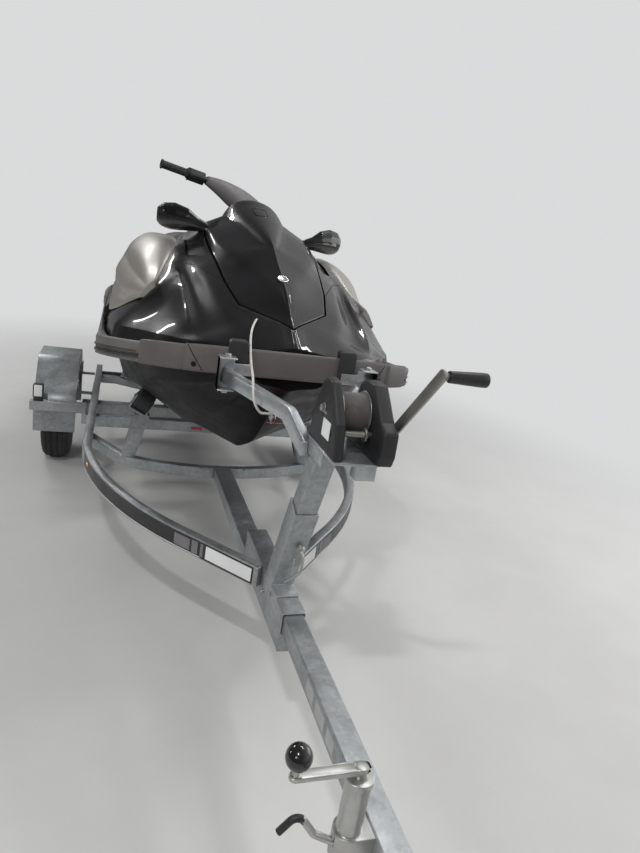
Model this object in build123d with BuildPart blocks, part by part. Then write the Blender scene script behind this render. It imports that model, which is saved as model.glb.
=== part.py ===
from build123d import *
import os
from math import cos, sin, tan, pi, radians

# Personal watercraft on a single-axle boat trailer, in millimetres.
# X points to the craft's port side, Y points rearwards, Z up. The floor is z = 0.
# The origin is on the floor, halfway between the coupling's nose and the stern bumper.
os.makedirs("parts", exist_ok=True)

overall_length = 4750
nose_y = -overall_length / 2
stern_y = overall_length / 2
seat_gap = 0.3          # clearance where curved or loose faces seat
run_gap = 5             # clearance round what moves

# Craft
craft_length = 3255
bow_y = stern_y - craft_length
beam = 1170
rail_out = 26           # how far the bumper rail stands out of the hull side
rail_height = 62
transom_y = stern_y - 175

# Parting line between hull and deck, seen from the side: (y, z)
parting_rows = [(bow_y - 40, 1108), (bow_y + 110, 1078), (bow_y + 550, 1012), (bow_y + 1400, 968), (stern_y + 40, 930)]

# Trailer
drawbar_size = 60
drawbar_top = 455
tube_wall = 4
sleeve_wall = 5
sleeve_lip_y = nose_y + 1180
sleeve_end_y = nose_y + 1700
sleeve_height = 125
member_width = 36
member_height = 70
member_top = 460
member_half = 612       # half distance between the side members
axle_y = 1240
tyre_radius = 289
tyre_width = 157
track_half = 808
rim_radius = 165


def mirrored_loop(rows):
    """Closed outline from half-width rows (x, z), bottom centre to top centre."""
    left = [(-x, z) for x, z in reversed(rows) if x > 0]
    return list(rows) + left


def side_block(points, half_width):
    """Solid with a profile in the side view, points (y, z), and a given half width."""
    with BuildPart() as block:
        with BuildSketch(Plane.YZ.offset(-half_width)):
            with BuildLine():
                Polyline(*points, close=True)
            make_face()
        extrude(amount=2 * half_width)
    return block.part


def section_loft(rows):
    """Straight loft through cross-sections: each row is (y, [(x, z), ...]) for half of the section."""
    with BuildPart() as body:
        for y, half in rows:
            with BuildSketch(Plane.XZ.offset(-y)):
                with BuildLine():
                    Polyline(*mirrored_loop(half), close=True)
                make_face()
        loft(ruled=True)
    return body.part


def grown(part):
    """The solid and a copy a touch larger, to cut a seat with a small gap."""
    return [part, part.scale(1.0009)]


def raised(part):
    """The solid and a copy a touch higher, to cut a seat for what stands on it."""
    return [part, part.moved(Location((0, 0, seat_gap)))]


def interpolated(rows, y):
    """Row values at a station between two rows."""
    for first, second in zip(rows, rows[1:]):
        if first[0] <= y <= second[0]:
            share = (y - first[0]) / (second[0] - first[0])
            return [tuple(a + (b - a) * share for a, b in zip(p, q)) if isinstance(p, tuple) else p + (q - p) * share
                    for p, q in zip(first, second)]
    raise ValueError(y)


def bar_shape(start, end, width):
    """Corners of a flat bar between two points of a sketch, square at both ends."""
    run = Vector(end[0] - start[0], end[1] - start[1])
    side = Vector(-run.Y, run.X).normalized() * (width / 2)
    return [(start[0] + side.X, start[1] + side.Y), (end[0] + side.X, end[1] + side.Y),
            (end[0] - side.X, end[1] - side.Y), (start[0] - side.X, start[1] - side.Y)]


def finish(part, name):
    part.label = name
    export_step(part, f"parts/{name}.step")


below_parting = side_block(parting_rows + [(stern_y + 40, 200), (bow_y - 40, 200)], beam)
above_parting = side_block(
    [(y, z + seat_gap) for y, z in parting_rows] + [(stern_y + 40, 2000), (bow_y - 40, 2000)], beam)

# Hull

keel_z = 532
chine_lip = 14
# station, keel height, strake (x, z), chine (x, z), side (x, z)
hull_rows = [
    (bow_y + 62, 1010, (60, 1022), (105, 1036), (205, 1110)),
    (bow_y + 240, 890, (120, 925), (232, 968), (400, 1110)),
    (bow_y + 480, 697, (185, 790), (352, 898), (528, 1090)),
    (bow_y + 830, 570, (220, 672), (416, 806), (560, 1060)),
    (bow_y + 1150, 545, (232, 632), (444, 742), (566, 1050)),
    (bow_y + 1500, keel_z, (240, 612), (458, 704), (567, 1040)),
    (transom_y, keel_z, (245, 606), (470, 688), (548, 1000)),
]
pump_y = transom_y
pump_z = keel_z + 118
pump_radius = 92
tunnel_length = 560
tunnel_half = 118
intake_length = 330
eye_y = bow_y + 230      # where the bow eye meets the stem
eye_z = 897
eye_out = (-0.56, -0.83) # square to the stem, (y, z)
eye_reach = 36

with BuildPart() as hull:
    add(section_loft([
        (y, [(0, keel), strake, (strake[0] + 18, strake[1] + 2), chine, (chine[0] + chine_lip, chine[1] + 6), side,
             (0, side[1])])
        for y, keel, strake, chine, side in hull_rows]))
    add(below_parting, mode=Mode.INTERSECT)
    # Tunnel for the jet pump, open at the transom and below
    with BuildSketch(Plane.XZ.offset(-(pump_y + 10))):
        with Locations((0, pump_z)):
            Circle(tunnel_half)
        with Locations((0, pump_z - 150)):
            Rectangle(2 * tunnel_half, 300)
    extrude(amount=tunnel_length, mode=Mode.SUBTRACT)
    # Water intake ahead of the tunnel, sloping up into it
    add(side_block([
        (pump_y - tunnel_length + 40, keel_z - 60), (pump_y - tunnel_length + 40, pump_z + 50),
        (pump_y - tunnel_length - 30, pump_z + 20), (pump_y - tunnel_length - intake_length, keel_z + 6),
        (pump_y - tunnel_length - intake_length, keel_z - 60)], 88), mode=Mode.SUBTRACT)
finish(hull.part, "hull")

# Upper body: one smooth form, then the hood is cut out of it

cowl_base = 920
# station, rail (x), low side (x, z), shoulder (x, z), hood edge (x, z), centre z
cowl_rows = [
    (bow_y + 38, 160, (155, 1112), (112, 1136), (56, 1146), 1150),
    (bow_y + 118, 282, (274, 1124), (190, 1166), (62, 1192), 1197),
    (bow_y + 274, 422, (404, 1116), (288, 1206), (150, 1238), 1300),
    (bow_y + 550, 545, (526, 1086), (404, 1250), (190, 1366), 1436),
    (bow_y + 780, 566, (542, 1070), (352, 1340), (210, 1443), 1525),
    (bow_y + 950, 567, (546, 1063), (325, 1384), (232, 1462), 1588),
    (bow_y + 1030, 568, (548, 1060), (308, 1402), (236, 1456), 1610),
    (bow_y + 1108, 568, (549, 1056), (300, 1400), (222, 1446), 1538),
    (bow_y + 1200, 569, (550, 1052), (290, 1378), (200, 1420), 1480),
    (bow_y + 1370, 570, (552, 1046), (282, 1250), (186, 1300), 1340),
]
cowl_end_y = bow_y + 1370
cowl = section_loft([
    (y, [(0, cowl_base), (rail, cowl_base), (rail, low[1] - 42), low, shoulder, edge, (0, centre)])
    for y, rail, low, shoulder, edge, centre in cowl_rows])

# Hood outline seen from above: (x, y), nose first
hood_rows = [(0, bow_y + 116), (148, bow_y + 276), (178, bow_y + 415), (206, bow_y + 660), (213, bow_y + 780),
             (205, bow_y + 930), (120, bow_y + 1010)]
hood_floor = [(bow_y + 60, 1151), (bow_y + 1060, 1436)]
hood_hinge = (0, bow_y + 114, 1202)


def hood_zone(grow, drop):
    """Space of the hood: its outline seen from above, over a sloping shelf."""
    outline = mirrored_loop(hood_rows)
    with BuildPart() as zone:
        with BuildSketch(Plane.XY.offset(1000)):
            with BuildLine():
                Polyline(*outline, close=True)
            make_face()
            if grow:
                offset(amount=grow)
        extrude(amount=800)
        add(side_block([(y, z - drop) for y, z in hood_floor] + [(hood_floor[1][0], 1900), (hood_floor[0][0], 1900)],
                       300), mode=Mode.INTERSECT)
    return zone.part


groove_half = 4.4
bin_half = 105
bin_front_y = bow_y + 420
bin_rear_y = bow_y + 820
bin_floor_z = 1130

# Rear body: footwells between the seat's pedestal and the gunwales
rear_base = 930
# station, rail x, gunwale outside, gunwale inside, floor outside, floor inside, pedestal edge
rear_rows = [
    (bow_y + 1180, 569, (553, 1080), (470, 1110), (430, 1060), (262, 1060), (225, 1180)),
    (bow_y + 1560, 570, (556, 1046), (462, 1052), (425, 992), (262, 992), (214, 1172)),
    (bow_y + 2150, 568, (552, 1030), (458, 1034), (422, 982), (300, 982), (246, 1172)),
    (bow_y + 2660, 560, (542, 1012), (452, 1014), (420, 974), (318, 974), (262, 1120)),
    (bow_y + 2800, 556, (536, 1000), (450, 1002), (420, 970), (318, 970), (262, 974)),
    (stern_y - 30, 540, (516, 984), (440, 985), (415, 962), (300, 962), (250, 964)),
]
rear_body = section_loft([
    (y, [(0, rear_base), (rail, rear_base), (rail, out[1] - 26), out, inner, floor_out, floor_in, edge, (0, edge[1])])
    for y, rail, out, inner, floor_out, floor_in, edge in rear_rows])

# Steering column, leaning back, with the bar turned as it stands in the photo
column_angle = 40
column_y = bow_y + 1295
column_z = 1620
bar_turn = 28
nozzle_turn = -20.5
column_axis = (0, sin(radians(column_angle)), cos(radians(column_angle)))
column_drop = 110

# Mooring line: out from under the hood's front edge, over the bumper, round the bow arm, back to the bow eye
cord_radius = 3.5
cord_route = [
    (-100, bow_y + 276, 1188), (-100, bow_y + 218, 1191), (-102, bow_y + 188, 1208), (-116, bow_y + 145, 1207),
    (-133, bow_y + 100, 1192), (-145, bow_y + 54, 1170), (-150, bow_y + 14, 1146), (-151, bow_y - 18, 1114),
    (-153, bow_y - 52, 1096), (-156, bow_y - 92, 1084), (-162, bow_y - 135, 1066), (-161, bow_y - 162, 1027),
    (-134, bow_y - 142, 991), (-101, bow_y - 80, 975), (-82, bow_y - 32, 961), (-62, bow_y + 20, 948),
    (-43, bow_y + 76, 930), (-26, bow_y + 126, 905), (-9.8, bow_y + 200, 872)]


def bend_radii(points):
    """Corner radii that use most of the shorter run at each corner."""
    radii = []
    for before, here, after in zip(points, points[1:], points[2:]):
        first = Vector(*here) - Vector(*before)
        second = Vector(*after) - Vector(*here)
        half_turn = radians(first.get_angle(second)) / 2
        radii.append(0.45 * min(first.length, second.length) / tan(half_turn))
    return radii


cord_bends = bend_radii(cord_route)
print("cord bend radii", [round(value) for value in cord_bends])


def cord_tube(radius, count):
    """Tube along the first points of the line's route."""
    with BuildPart() as tube:
        with BuildLine() as line:
            FilletPolyline(*cord_route[:count], radius=cord_bends[:count - 2])
        with BuildSketch(Plane(origin=line.line @ 0, z_dir=line.line % 0)):
            Circle(radius)
        sweep()
    return tube.part


mooring_cord = cord_tube(cord_radius, len(cord_route))
print("cord volume", round(mooring_cord.volume), "length", round(mooring_cord.volume / (pi * cord_radius ** 2)))
finish(mooring_cord, "mooring_cord")

with BuildPart() as deck:
    add(cowl)
    add(rear_body)
    add(above_parting, mode=Mode.INTERSECT)
    add(hood_zone(run_gap, seat_gap), mode=Mode.SUBTRACT)
    # Storage bin under the hood
    with BuildSketch(Plane.XY.offset(bin_floor_z)):
        with Locations((0, (bin_front_y + bin_rear_y) / 2)):
            RectangleRounded(2 * bin_half, bin_rear_y - bin_front_y, 30)
    extrude(amount=500, mode=Mode.SUBTRACT)
    # Groove that lets the mooring line out from under the hood
    add(cord_tube(cord_radius + 0.6, 6), mode=Mode.SUBTRACT)
    with BuildSketch(Plane.YZ.offset(-101 - groove_half)):
        with Locations((bow_y + 206, 1230)):
            Rectangle(50, 60)
    extrude(amount=2 * groove_half, mode=Mode.SUBTRACT)
finish(deck.part, "deck")

with BuildPart() as hood:
    add(cowl)
    add(hood_zone(0, 0), mode=Mode.INTERSECT)
    # The nose is cut flat underneath, so that it clears the shelf as it tips
    add(side_block([(hood_hinge[1] - 20, 1100), (hood_hinge[1] + 26, 1100), (hood_hinge[1] + 26, hood_hinge[2] - 28),
                    (hood_hinge[1] - 20, hood_hinge[2] - 28)], 60), mode=Mode.SUBTRACT)
finish(hood.part, "hood")

# Rail, bow bumper and corner pieces follow the parting line


def rail_band(up, down):
    """Band along the parting line seen from the side."""
    upper = [(y, z + up) for y, z in parting_rows]
    lower = [(y, z - down) for y, z in reversed(parting_rows)]
    return side_block(upper + lower, beam)


def plan_outline(grow):
    """Outline of the rail seen from above, grown outwards by a given amount."""
    half = beam / 2 - rail_out
    with BuildSketch() as plan:
        with BuildLine():
            bow = Polyline((-300, bow_y + 104), (-150, bow_y + 44), (0, bow_y + 28), (150, bow_y + 44),
                           (300, bow_y + 104))
            front_port = ThreePointArc((300, bow_y + 104), (488, bow_y + 300), (half, bow_y + 640))
            side_port = Line(front_port @ 1, (half, bow_y + 2200))
            rear_port = ThreePointArc(side_port @ 1, (half - 6, stern_y - 320), (half - 24, stern_y - 130))
            corner_port = Polyline(rear_port @ 1, (half - 74, stern_y - rail_out - 10), (0, stern_y - rail_out))
            mirror(front_port, about=Plane.YZ)
            mirror(side_port, about=Plane.YZ)
            mirror(rear_port, about=Plane.YZ)
            mirror(corner_port, about=Plane.YZ)
        make_face()
        if grow:
            offset(amount=grow)
    return plan.sketch


def rail_piece(out, inner, up, down, y_from, y_to):
    """Piece of the belt round the craft between two stations."""
    with BuildPart() as piece:
        with BuildSketch(Plane.XY.offset(800)):
            add(plan_outline(out))
            add(plan_outline(inner), mode=Mode.SUBTRACT)
            with Locations((0, (y_from + y_to) / 2)):
                Rectangle(2 * beam, y_to - y_from, mode=Mode.INTERSECT)
        extrude(amount=400)
        add(rail_band(up, down), mode=Mode.INTERSECT)
        add(grown(hull.part), mode=Mode.SUBTRACT)
        add(grown(deck.part), mode=Mode.SUBTRACT)
    return piece.part


corner_front_y = bow_y + 96
corner_rear_y = bow_y + 200
with BuildPart() as bumper_rail:
    add(rail_piece(rail_out, -14, rail_height / 2, rail_height / 2, corner_rear_y + 0.3, stern_y + 30))
    # Groove for the dark insert
    with BuildPart(mode=Mode.PRIVATE) as groove:
        with BuildSketch(Plane.XY.offset(800)):
            add(plan_outline(rail_out + 10))
            add(plan_outline(rail_out - 5), mode=Mode.SUBTRACT)
        extrude(amount=400)
        add(rail_band(-4, 24), mode=Mode.INTERSECT)
    add(groove.part, mode=Mode.SUBTRACT)
finish(bumper_rail.part, "bumper_rail")
with BuildPart() as bow_bumper:
    add(rail_piece(rail_out, -30, 44, 40, bow_y - 40, corner_front_y - 0.3))
finish(bow_bumper.part, "bow_bumper")
with BuildPart() as bumper_corners:
    add(rail_piece(rail_out + 5, -22, 40, 38, corner_front_y, corner_rear_y))
finish(bumper_corners.part, "bumper_corners")

# Hood latch, mirrors

latch_y = bow_y + 843
latch_z = 1549
with BuildPart() as hood_latch:
    latch_plane = Plane(origin=(0, latch_y, latch_z), x_dir=(1, 0, 0), z_dir=(0, -sin(radians(21)), cos(radians(21))))
    with BuildSketch(latch_plane.offset(-14)):
        RectangleRounded(64, 44, 14)
    extrude(amount=22)
    add(hood.part, mode=Mode.SUBTRACT)
finish(hood_latch.part, "hood_latch")

mirror_root = (201, bow_y + 850, 1462)
# distance out from the root, set back, rise, half depth, half height
mirror_rows = [(0, 0, 0, 17, 14), (38, 14, 10, 28, 21), (78, 38, 22, 42, 38), (128, 70, 26, 50, 48),
               (170, 96, 26, 44, 42), (192, 108, 24, 24, 24)]


def mirror_part():
    with BuildPart() as one:
        # Housing: a long drop, flat at the back where the glass is
        for out, back, rise, half_y, half_z in mirror_rows:
            with BuildSketch(Plane.YZ.offset(mirror_root[0] + out)):
                with Locations((mirror_root[1] + back, mirror_root[2] + rise)):
                    Ellipse(half_y, half_z)
        loft(ruled=True)
        with BuildSketch(Plane(origin=(mirror_root[0] + 128, mirror_root[1] + 102, mirror_root[2] + 26),
                               x_dir=(0.86, 0.5, 0), z_dir=(-0.5, 0.86, 0))):
            Rectangle(200, 200)
        extrude(amount=80, mode=Mode.SUBTRACT)
        add(hood.part, mode=Mode.SUBTRACT)
        add([deck.part, deck.part.moved(Location((0, 0, run_gap)))], mode=Mode.SUBTRACT)
    return one.part


mirror_one = mirror_part()
with BuildPart() as mirrors:
    add(mirror_one)
    mirror(mirror_one, about=Plane.YZ)
finish(mirrors.part, "mirrors")

# Steering: everything is drawn on the turned bar's own plane

turn = radians(bar_turn)
axis_up = Vector(*column_axis)
bar_right = Vector(cos(turn), sin(turn) * cos(radians(column_angle)), -sin(turn) * sin(radians(column_angle)))
bar_plane = Plane(origin=(0, column_y, column_z), x_dir=bar_right, z_dir=axis_up)
bar_middle = 100         # straight middle of the bar, half length
bar_arm = 300            # each swept-back arm
bar_sweep = radians(15)
bar_radius = 11
grip_length = 122
grip_radius = 17
switch_length = 76


def bar_tube(radius, trim):
    """Round tube along the handlebar, shortened at both ends."""
    reach = bar_middle + (bar_arm - trim) * cos(bar_sweep)
    back = (bar_arm - trim) * sin(bar_sweep)
    corners = [(-reach, back, 0), (-bar_middle, 0, 0), (bar_middle, 0, 0), (reach, back, 0)]
    with BuildPart() as tube:
        with BuildLine() as path:
            FilletPolyline(*[bar_plane.from_local_coords(corner) for corner in corners], radius=60)
        with BuildSketch(Plane(origin=path.line @ 0, z_dir=path.line % 0)):
            Circle(radius)
        sweep()
    return tube.part


# Display housing on the slope behind the steering column
with BuildPart() as instrument_pod:
    add(side_block([(bow_y + 1240, 1380), (bow_y + 1350, 1310), (bow_y + 1366, 1342), (bow_y + 1268, 1448),
                    (bow_y + 1252, 1446)], 92))
    add(raised(deck.part), mode=Mode.SUBTRACT)
finish(instrument_pod.part, "instrument_pod")

shaft_radius = 18
bellows_radius = 34
bellows_fold = 12
with BuildPart() as steering_shaft:
    with BuildSketch(bar_plane.offset(-column_drop - 140)):
        Circle(shaft_radius)
    extrude(amount=190)
    # Rubber bellows round the shaft, folds of equal height
    folds = [(bellows_radius - 7 * (step % 2), bellows_fold * step) for step in range(10)]
    with BuildSketch(Plane(origin=bar_plane.offset(-column_drop - 120).origin, x_dir=bar_plane.x_dir,
                           z_dir=-bar_plane.y_dir)):
        with BuildLine():
            Polyline((0, 0), *folds, (0, folds[-1][1]), close=True)
        make_face()
    revolve(axis=Axis(bar_plane.origin, axis_up))
    add(raised(deck.part), mode=Mode.SUBTRACT)
finish(steering_shaft.part, "steering_shaft")

# Pad round the bar: station along the bar, set back, half depth, top and bottom
pad_rows = [(-188, 24, 22, 27, -24), (-118, 8, 38, 46, -62), (0, 0, 50, 58, -104), (118, 8, 38, 46, -62),
            (188, 24, 22, 27, -24)]
with BuildPart() as steering_cover:
    for x, back, depth, top, bottom in pad_rows:
        with BuildSketch(Plane(origin=bar_plane.from_local_coords((x, back, (top + bottom) / 2)),
                               x_dir=bar_plane.y_dir, z_dir=bar_plane.x_dir)):
            RectangleRounded(2 * depth, top - bottom, 14)
    loft(ruled=True)
    with BuildSketch(bar_plane.offset(-40)):
        Circle(50)
    with BuildSketch(bar_plane.offset(-column_drop)):
        Circle(42)
    loft()
    add(bar_tube(bar_radius + seat_gap / 3, 0), mode=Mode.SUBTRACT)
    with BuildSketch(bar_plane.offset(-column_drop - 1)):
        Circle(shaft_radius + 0.05)
    extrude(amount=54, mode=Mode.SUBTRACT)
finish(steering_cover.part, "steering_cover")

finish(bar_tube(bar_radius, 4), "handlebar")

with BuildPart() as handle_grips:
    for side in (-1, 1):
        end = bar_plane.from_local_coords((side * (bar_middle + bar_arm * cos(bar_sweep)), bar_arm * sin(bar_sweep), 0))
        inwards = bar_plane.x_dir * (-side * cos(bar_sweep)) - bar_plane.y_dir * sin(bar_sweep)
        grip_plane = Plane(origin=end, x_dir=axis_up, z_dir=inwards)
        with BuildSketch(grip_plane):
            Circle(grip_radius)
        extrude(amount=grip_length)
        # Flanges at both ends of the rubber, then the switch housing
        for start, radius, length in [(0, 21, 6), (grip_length - 8, 22, 8)]:
            with BuildSketch(grip_plane.offset(start)):
                Circle(radius)
            extrude(amount=length)
        with BuildSketch(grip_plane.offset(grip_length)):
            RectangleRounded(42, 46, 10)
        extrude(amount=switch_length)
        with BuildSketch(grip_plane):
            Circle(bar_radius + seat_gap / 3)
        extrude(amount=grip_length + switch_length + 10, mode=Mode.SUBTRACT)
finish(handle_grips.part, "handle_grips")

# Seats

seat_split_y = bow_y + 1940
seat_start_y = bow_y + 1380
seat_end_y = bow_y + 2690
# station, base half width, side (x, z), shoulder (x, z), top z
seat_rows = [
    (seat_start_y, 120, (150, 1260), (110, 1330), 1352),
    (bow_y + 1560, 190, (250, 1268), (180, 1352), 1372),
    (bow_y + 1760, 205, (310, 1270), (240, 1370), 1386),
    (seat_split_y, 215, (345, 1275), (268, 1395), 1412),
]
rear_seat_rows = [
    (seat_split_y, 215, (345, 1275), (268, 1400), 1420),
    (bow_y + 2200, 225, (360, 1278), (285, 1410), 1428),
    (bow_y + 2480, 225, (345, 1272), (262, 1396), 1416),
    (seat_end_y, 180, (270, 1250), (200, 1340), 1360),
]


def seat_solid(rows, front, rear):
    with BuildPart() as seat:
        for y, base, side, shoulder, top in rows:
            with BuildSketch(Plane.XZ.offset(-min(max(y, front), rear))):
                with BuildLine():
                    Polyline(*mirrored_loop([(0, 1100), (base, 1100), side, shoulder, (0, top)]), close=True)
                make_face()
        loft(ruled=True)
        add(raised(deck.part), mode=Mode.SUBTRACT)
    return seat.part


finish(seat_solid(seat_rows, seat_start_y, seat_split_y - 1), "seat_front")
finish(seat_solid(rear_seat_rows, seat_split_y + 1, seat_end_y), "seat_rear")

# Side panels: a pointed front on the deck's side, then the tall gunwale tops beside the seat, in three tiers
# station, foot, first tier, its step, second tier, waist, shoulder, crest, inside top, inside foot
bolster_rows = [
    (bow_y + 555, (455, 1186), (449, 1198), (443, 1208), (437, 1218), (430, 1228), (422, 1238), (413, 1249), (402, 1258),
     (400, 1200)),
    (bow_y + 690, (490, 1146), (488, 1170), (476, 1190), (470, 1212), (452, 1238), (430, 1264), (402, 1292), (356, 1316),
     (350, 1200)),
    (bow_y + 860, (522, 1102), (524, 1132), (512, 1156), (512, 1214), (490, 1262), (462, 1310), (418, 1362), (300, 1404),
     (298, 1250)),
    (bow_y + 1080, (552, 1062), (549, 1126), (533, 1170), (541, 1236), (514, 1290), (480, 1350), (402, 1406), (300, 1416),
     (296, 1300)),
    (bow_y + 1300, (553, 1052), (549, 1118), (533, 1164), (541, 1232), (514, 1288), (482, 1346), (422, 1402), (382, 1400),
     (384, 1060)),
    (bow_y + 1480, (551, 1047), (548, 1104), (532, 1146), (540, 1208), (512, 1258), (487, 1312), (450, 1358), (409, 1352),
     (402, 1038)),
    (bow_y + 1800, (549, 1040), (549, 1082), (532, 1106), (539, 1156), (508, 1188), (496, 1252), (464, 1312), (412, 1306),
     (404, 1030)),
    (bow_y + 2300, (544, 1030), (544, 1064), (526, 1084), (530, 1118), (506, 1140), (490, 1186), (466, 1236), (418, 1230),
     (408, 1022)),
    (bow_y + 2680, (530, 1011), (526, 1018), (518, 1024), (512, 1032), (500, 1038), (488, 1046), (470, 1066), (430, 1062),
     (424, 1007)),
]
with BuildPart() as bolster:
    for y, *points in bolster_rows:
        with BuildSketch(Plane.XZ.offset(-y)):
            with BuildLine():
                Polyline(*points, close=True)
            make_face()
    loft(ruled=True)
    add(raised(deck.part), mode=Mode.SUBTRACT)
with BuildPart() as side_bolsters:
    add(bolster.part)
    mirror(bolster.part, about=Plane.YZ)
finish(side_bolsters.part, "side_bolsters")

mat_thick = 6
# inner edge, outer edge, then the floor's line (y, z)
mat_rows = [
    (326, 400, [(bow_y + 1580, 991.7), (bow_y + 2150, 982), (bow_y + 2640, 974.3)]),
    (-400, -326, [(bow_y + 1580, 991.7), (bow_y + 2150, 982), (bow_y + 2640, 974.3)]),
    (-235, 235, [(bow_y + 2830, 973.3), (bow_y + 3190, 964.8)]),
]
with BuildPart() as footwell_mats:
    for start, end, floor in mat_rows:
        with BuildSketch(Plane.YZ.offset(start)):
            with BuildLine():
                Polyline(*[(y, z + seat_gap) for y, z in floor],
                         *[(y, z + mat_thick) for y, z in reversed(floor)], close=True)
            make_face()
        extrude(amount=end - start)
finish(footwell_mats.part, "footwell_mats")

handle_y = seat_end_y + 60
with BuildPart() as rear_handle:
    with BuildLine() as handle_path:
        FilletPolyline((-150, handle_y - 30, 1030), (-150, handle_y + 30, 1262), (150, handle_y + 30, 1262),
                       (150, handle_y - 30, 1030), radius=40)
    with BuildSketch(Plane(origin=handle_path.line @ 0, z_dir=handle_path.line % 0)):
        Circle(14)
    sweep()
    add(raised(deck.part), mode=Mode.SUBTRACT)
finish(rear_handle.part, "rear_handle")

# Stern gear

with BuildPart() as sponsons:
    for side in (-1, 1):
        with BuildSketch(Plane.YZ.offset(side * 500)):
            with Locations((transom_y - 330, 742)):
                SlotOverall(560, 76)
        extrude(amount=side * 62)
        with BuildSketch(Plane.YZ.offset(side * 470)):
            with Locations((transom_y - 330, 742)):
                SlotOverall(520, 50)
        extrude(amount=side * 32)
    add(grown(hull.part), mode=Mode.SUBTRACT)
finish(sponsons.part, "sponsons")

plate_thick = 10
with BuildPart() as ride_plate:
    with BuildSketch(Plane.XY.offset(keel_z + 1)):
        with Locations((0, pump_y - 175)):
            RectangleRounded(2 * tunnel_half - 2, 430, 12)
    extrude(amount=plate_thick)

with BuildPart() as intake_grate:
    with BuildSketch(Plane.XY.offset(keel_z + 32)):
        for x in (-54, -18, 18, 54):
            with Locations((x, pump_y - tunnel_length - 130)):
                Rectangle(10, 300)
        with Locations((0, pump_y - tunnel_length + 16), (0, pump_y - tunnel_length - 276)):
            Rectangle(175.4, 16)
    extrude(amount=9)
    add(hull.part, mode=Mode.SUBTRACT)
    add(ride_plate.part)
finish(intake_grate.part, "ride_plate")

pump_bore = 78
with BuildPart() as jet_pump:
    with BuildSketch(Plane.XZ.offset(-(pump_y - 360))):
        with Locations((0, pump_z)):
            Circle(pump_radius)
            Circle(pump_bore, mode=Mode.SUBTRACT)
    extrude(amount=-370)
    with BuildSketch(Plane.XZ.offset(-(pump_y + 10))):
        with Locations((0, pump_z)):
            Circle(pump_radius + 6)
            Circle(58, mode=Mode.SUBTRACT)
    extrude(amount=-14)
    # Feet that carry the pump on the tunnel roof and the ride plate below
    with BuildSketch(Plane.XZ.offset(-(pump_y - 340))):
        with Locations((0, pump_z + pump_radius + 10)):
            Rectangle(120, 32)
        with Locations((0, keel_z + plate_thick + 1.3 + 12)):
            Rectangle(90, 24)
        with Locations((0, pump_z)):
            Circle(pump_bore, mode=Mode.SUBTRACT)
    extrude(amount=-320)
    add(grown(hull.part), mode=Mode.SUBTRACT)
    # Stator vanes behind the impeller
    for turn_step in range(5):
        with BuildSketch(Plane.XZ.offset(-(pump_y - 60))):
            with Locations((0, pump_z)):
                with PolarLocations(45, 1, start_angle=90 + 72 * turn_step):
                    Rectangle(72, 7)
        extrude(amount=-60)
    with BuildSketch(Plane.XZ.offset(-(pump_y - 60))):
        with Locations((0, pump_z)):
            Circle(26)
    extrude(amount=-60)
    with BuildSketch(Plane.XZ.offset(-(pump_y - 61))):
        with Locations((0, pump_z)):
            Circle(12.1)
    extrude(amount=-24, mode=Mode.SUBTRACT)

impeller_y = pump_y - 150
blade_count = 3
with BuildPart() as impeller:
    with BuildSketch(Plane.XZ.offset(-(impeller_y - 100))):
        with Locations((0, pump_z)):
            Circle(22)
    extrude(amount=-(100 + 84))
    with BuildSketch(Plane.XZ.offset(-(impeller_y + 84))):
        with Locations((0, pump_z)):
            Circle(12)
    extrude(amount=-24)
    for step in range(blade_count):
        angle = 360 / blade_count * step
        for part_step in range(3):
            with BuildSketch(Plane.XZ.offset(-(impeller_y - 30 + 20 * part_step))):
                with Locations((0, pump_z)):
                    with PolarLocations(44, 1, start_angle=angle + 34 * part_step):
                        Rectangle(56, 24)
            extrude(amount=-20)
finish(impeller.part, "impeller")

nozzle_pivot_y = pump_y + 62
bucket_pivot = (96, pump_y + 92, pump_z + 30)
nozzle_plane = Plane(origin=(0, nozzle_pivot_y, pump_z), x_dir=(cos(radians(nozzle_turn)), sin(radians(nozzle_turn)), 0),
                     z_dir=(-sin(radians(nozzle_turn)), cos(radians(nozzle_turn)), 0))
with BuildPart() as steering_nozzle:
    with BuildSketch(nozzle_plane.offset(-18)):
        Circle(56)
    with BuildSketch(nozzle_plane.offset(84)):
        Circle(46)
    loft()
    with BuildSketch(nozzle_plane.offset(-19)):
        Circle(50)
    with BuildSketch(nozzle_plane.offset(85)):
        Circle(40)
    loft(mode=Mode.SUBTRACT)
    # Pivot bosses above and below
    with BuildSketch(Plane.XY.offset(pump_z + 50)):
        with Locations((0, nozzle_pivot_y)):
            Circle(11)
    extrude(amount=22)
    with BuildSketch(Plane.XY.offset(pump_z - 50)):
        with Locations((0, nozzle_pivot_y)):
            Circle(11)
    extrude(amount=-22)
finish(steering_nozzle.part, "steering_nozzle")

with BuildPart() as nozzle_bracket:
    for direction in (1, -1):
        with BuildSketch(Plane.XY.offset(pump_z + direction * 72.3)):
            with Locations((0, (pump_y + 24 + nozzle_pivot_y + 16) / 2)):
                Rectangle(34, nozzle_pivot_y + 16 - pump_y - 24)
        extrude(amount=direction * 9)
        with BuildSketch(Plane.XZ.offset(-(pump_y + 24))):
            with Locations((0, pump_z + direction * 70)):
                Rectangle(34, 22.6)
        extrude(amount=-10)
    # Lugs and pins for the reverse bucket
    for side in (-1, 1):
        with BuildSketch(Plane.YZ.offset(side * 84)):
            with BuildLine():
                Polyline((pump_y + 20, pump_z + 4), (bucket_pivot[1] + 12, bucket_pivot[2] - 12),
                         (bucket_pivot[1] + 12, bucket_pivot[2] + 12), (pump_y + 20, pump_z + 50), close=True)
            make_face()
        extrude(amount=side * 5)
        with BuildSketch(Plane.YZ.offset(side * 84)):
            with Locations((bucket_pivot[1], bucket_pivot[2])):
                Circle(7)
        extrude(amount=side * 22)
    add(jet_pump.part)
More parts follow.
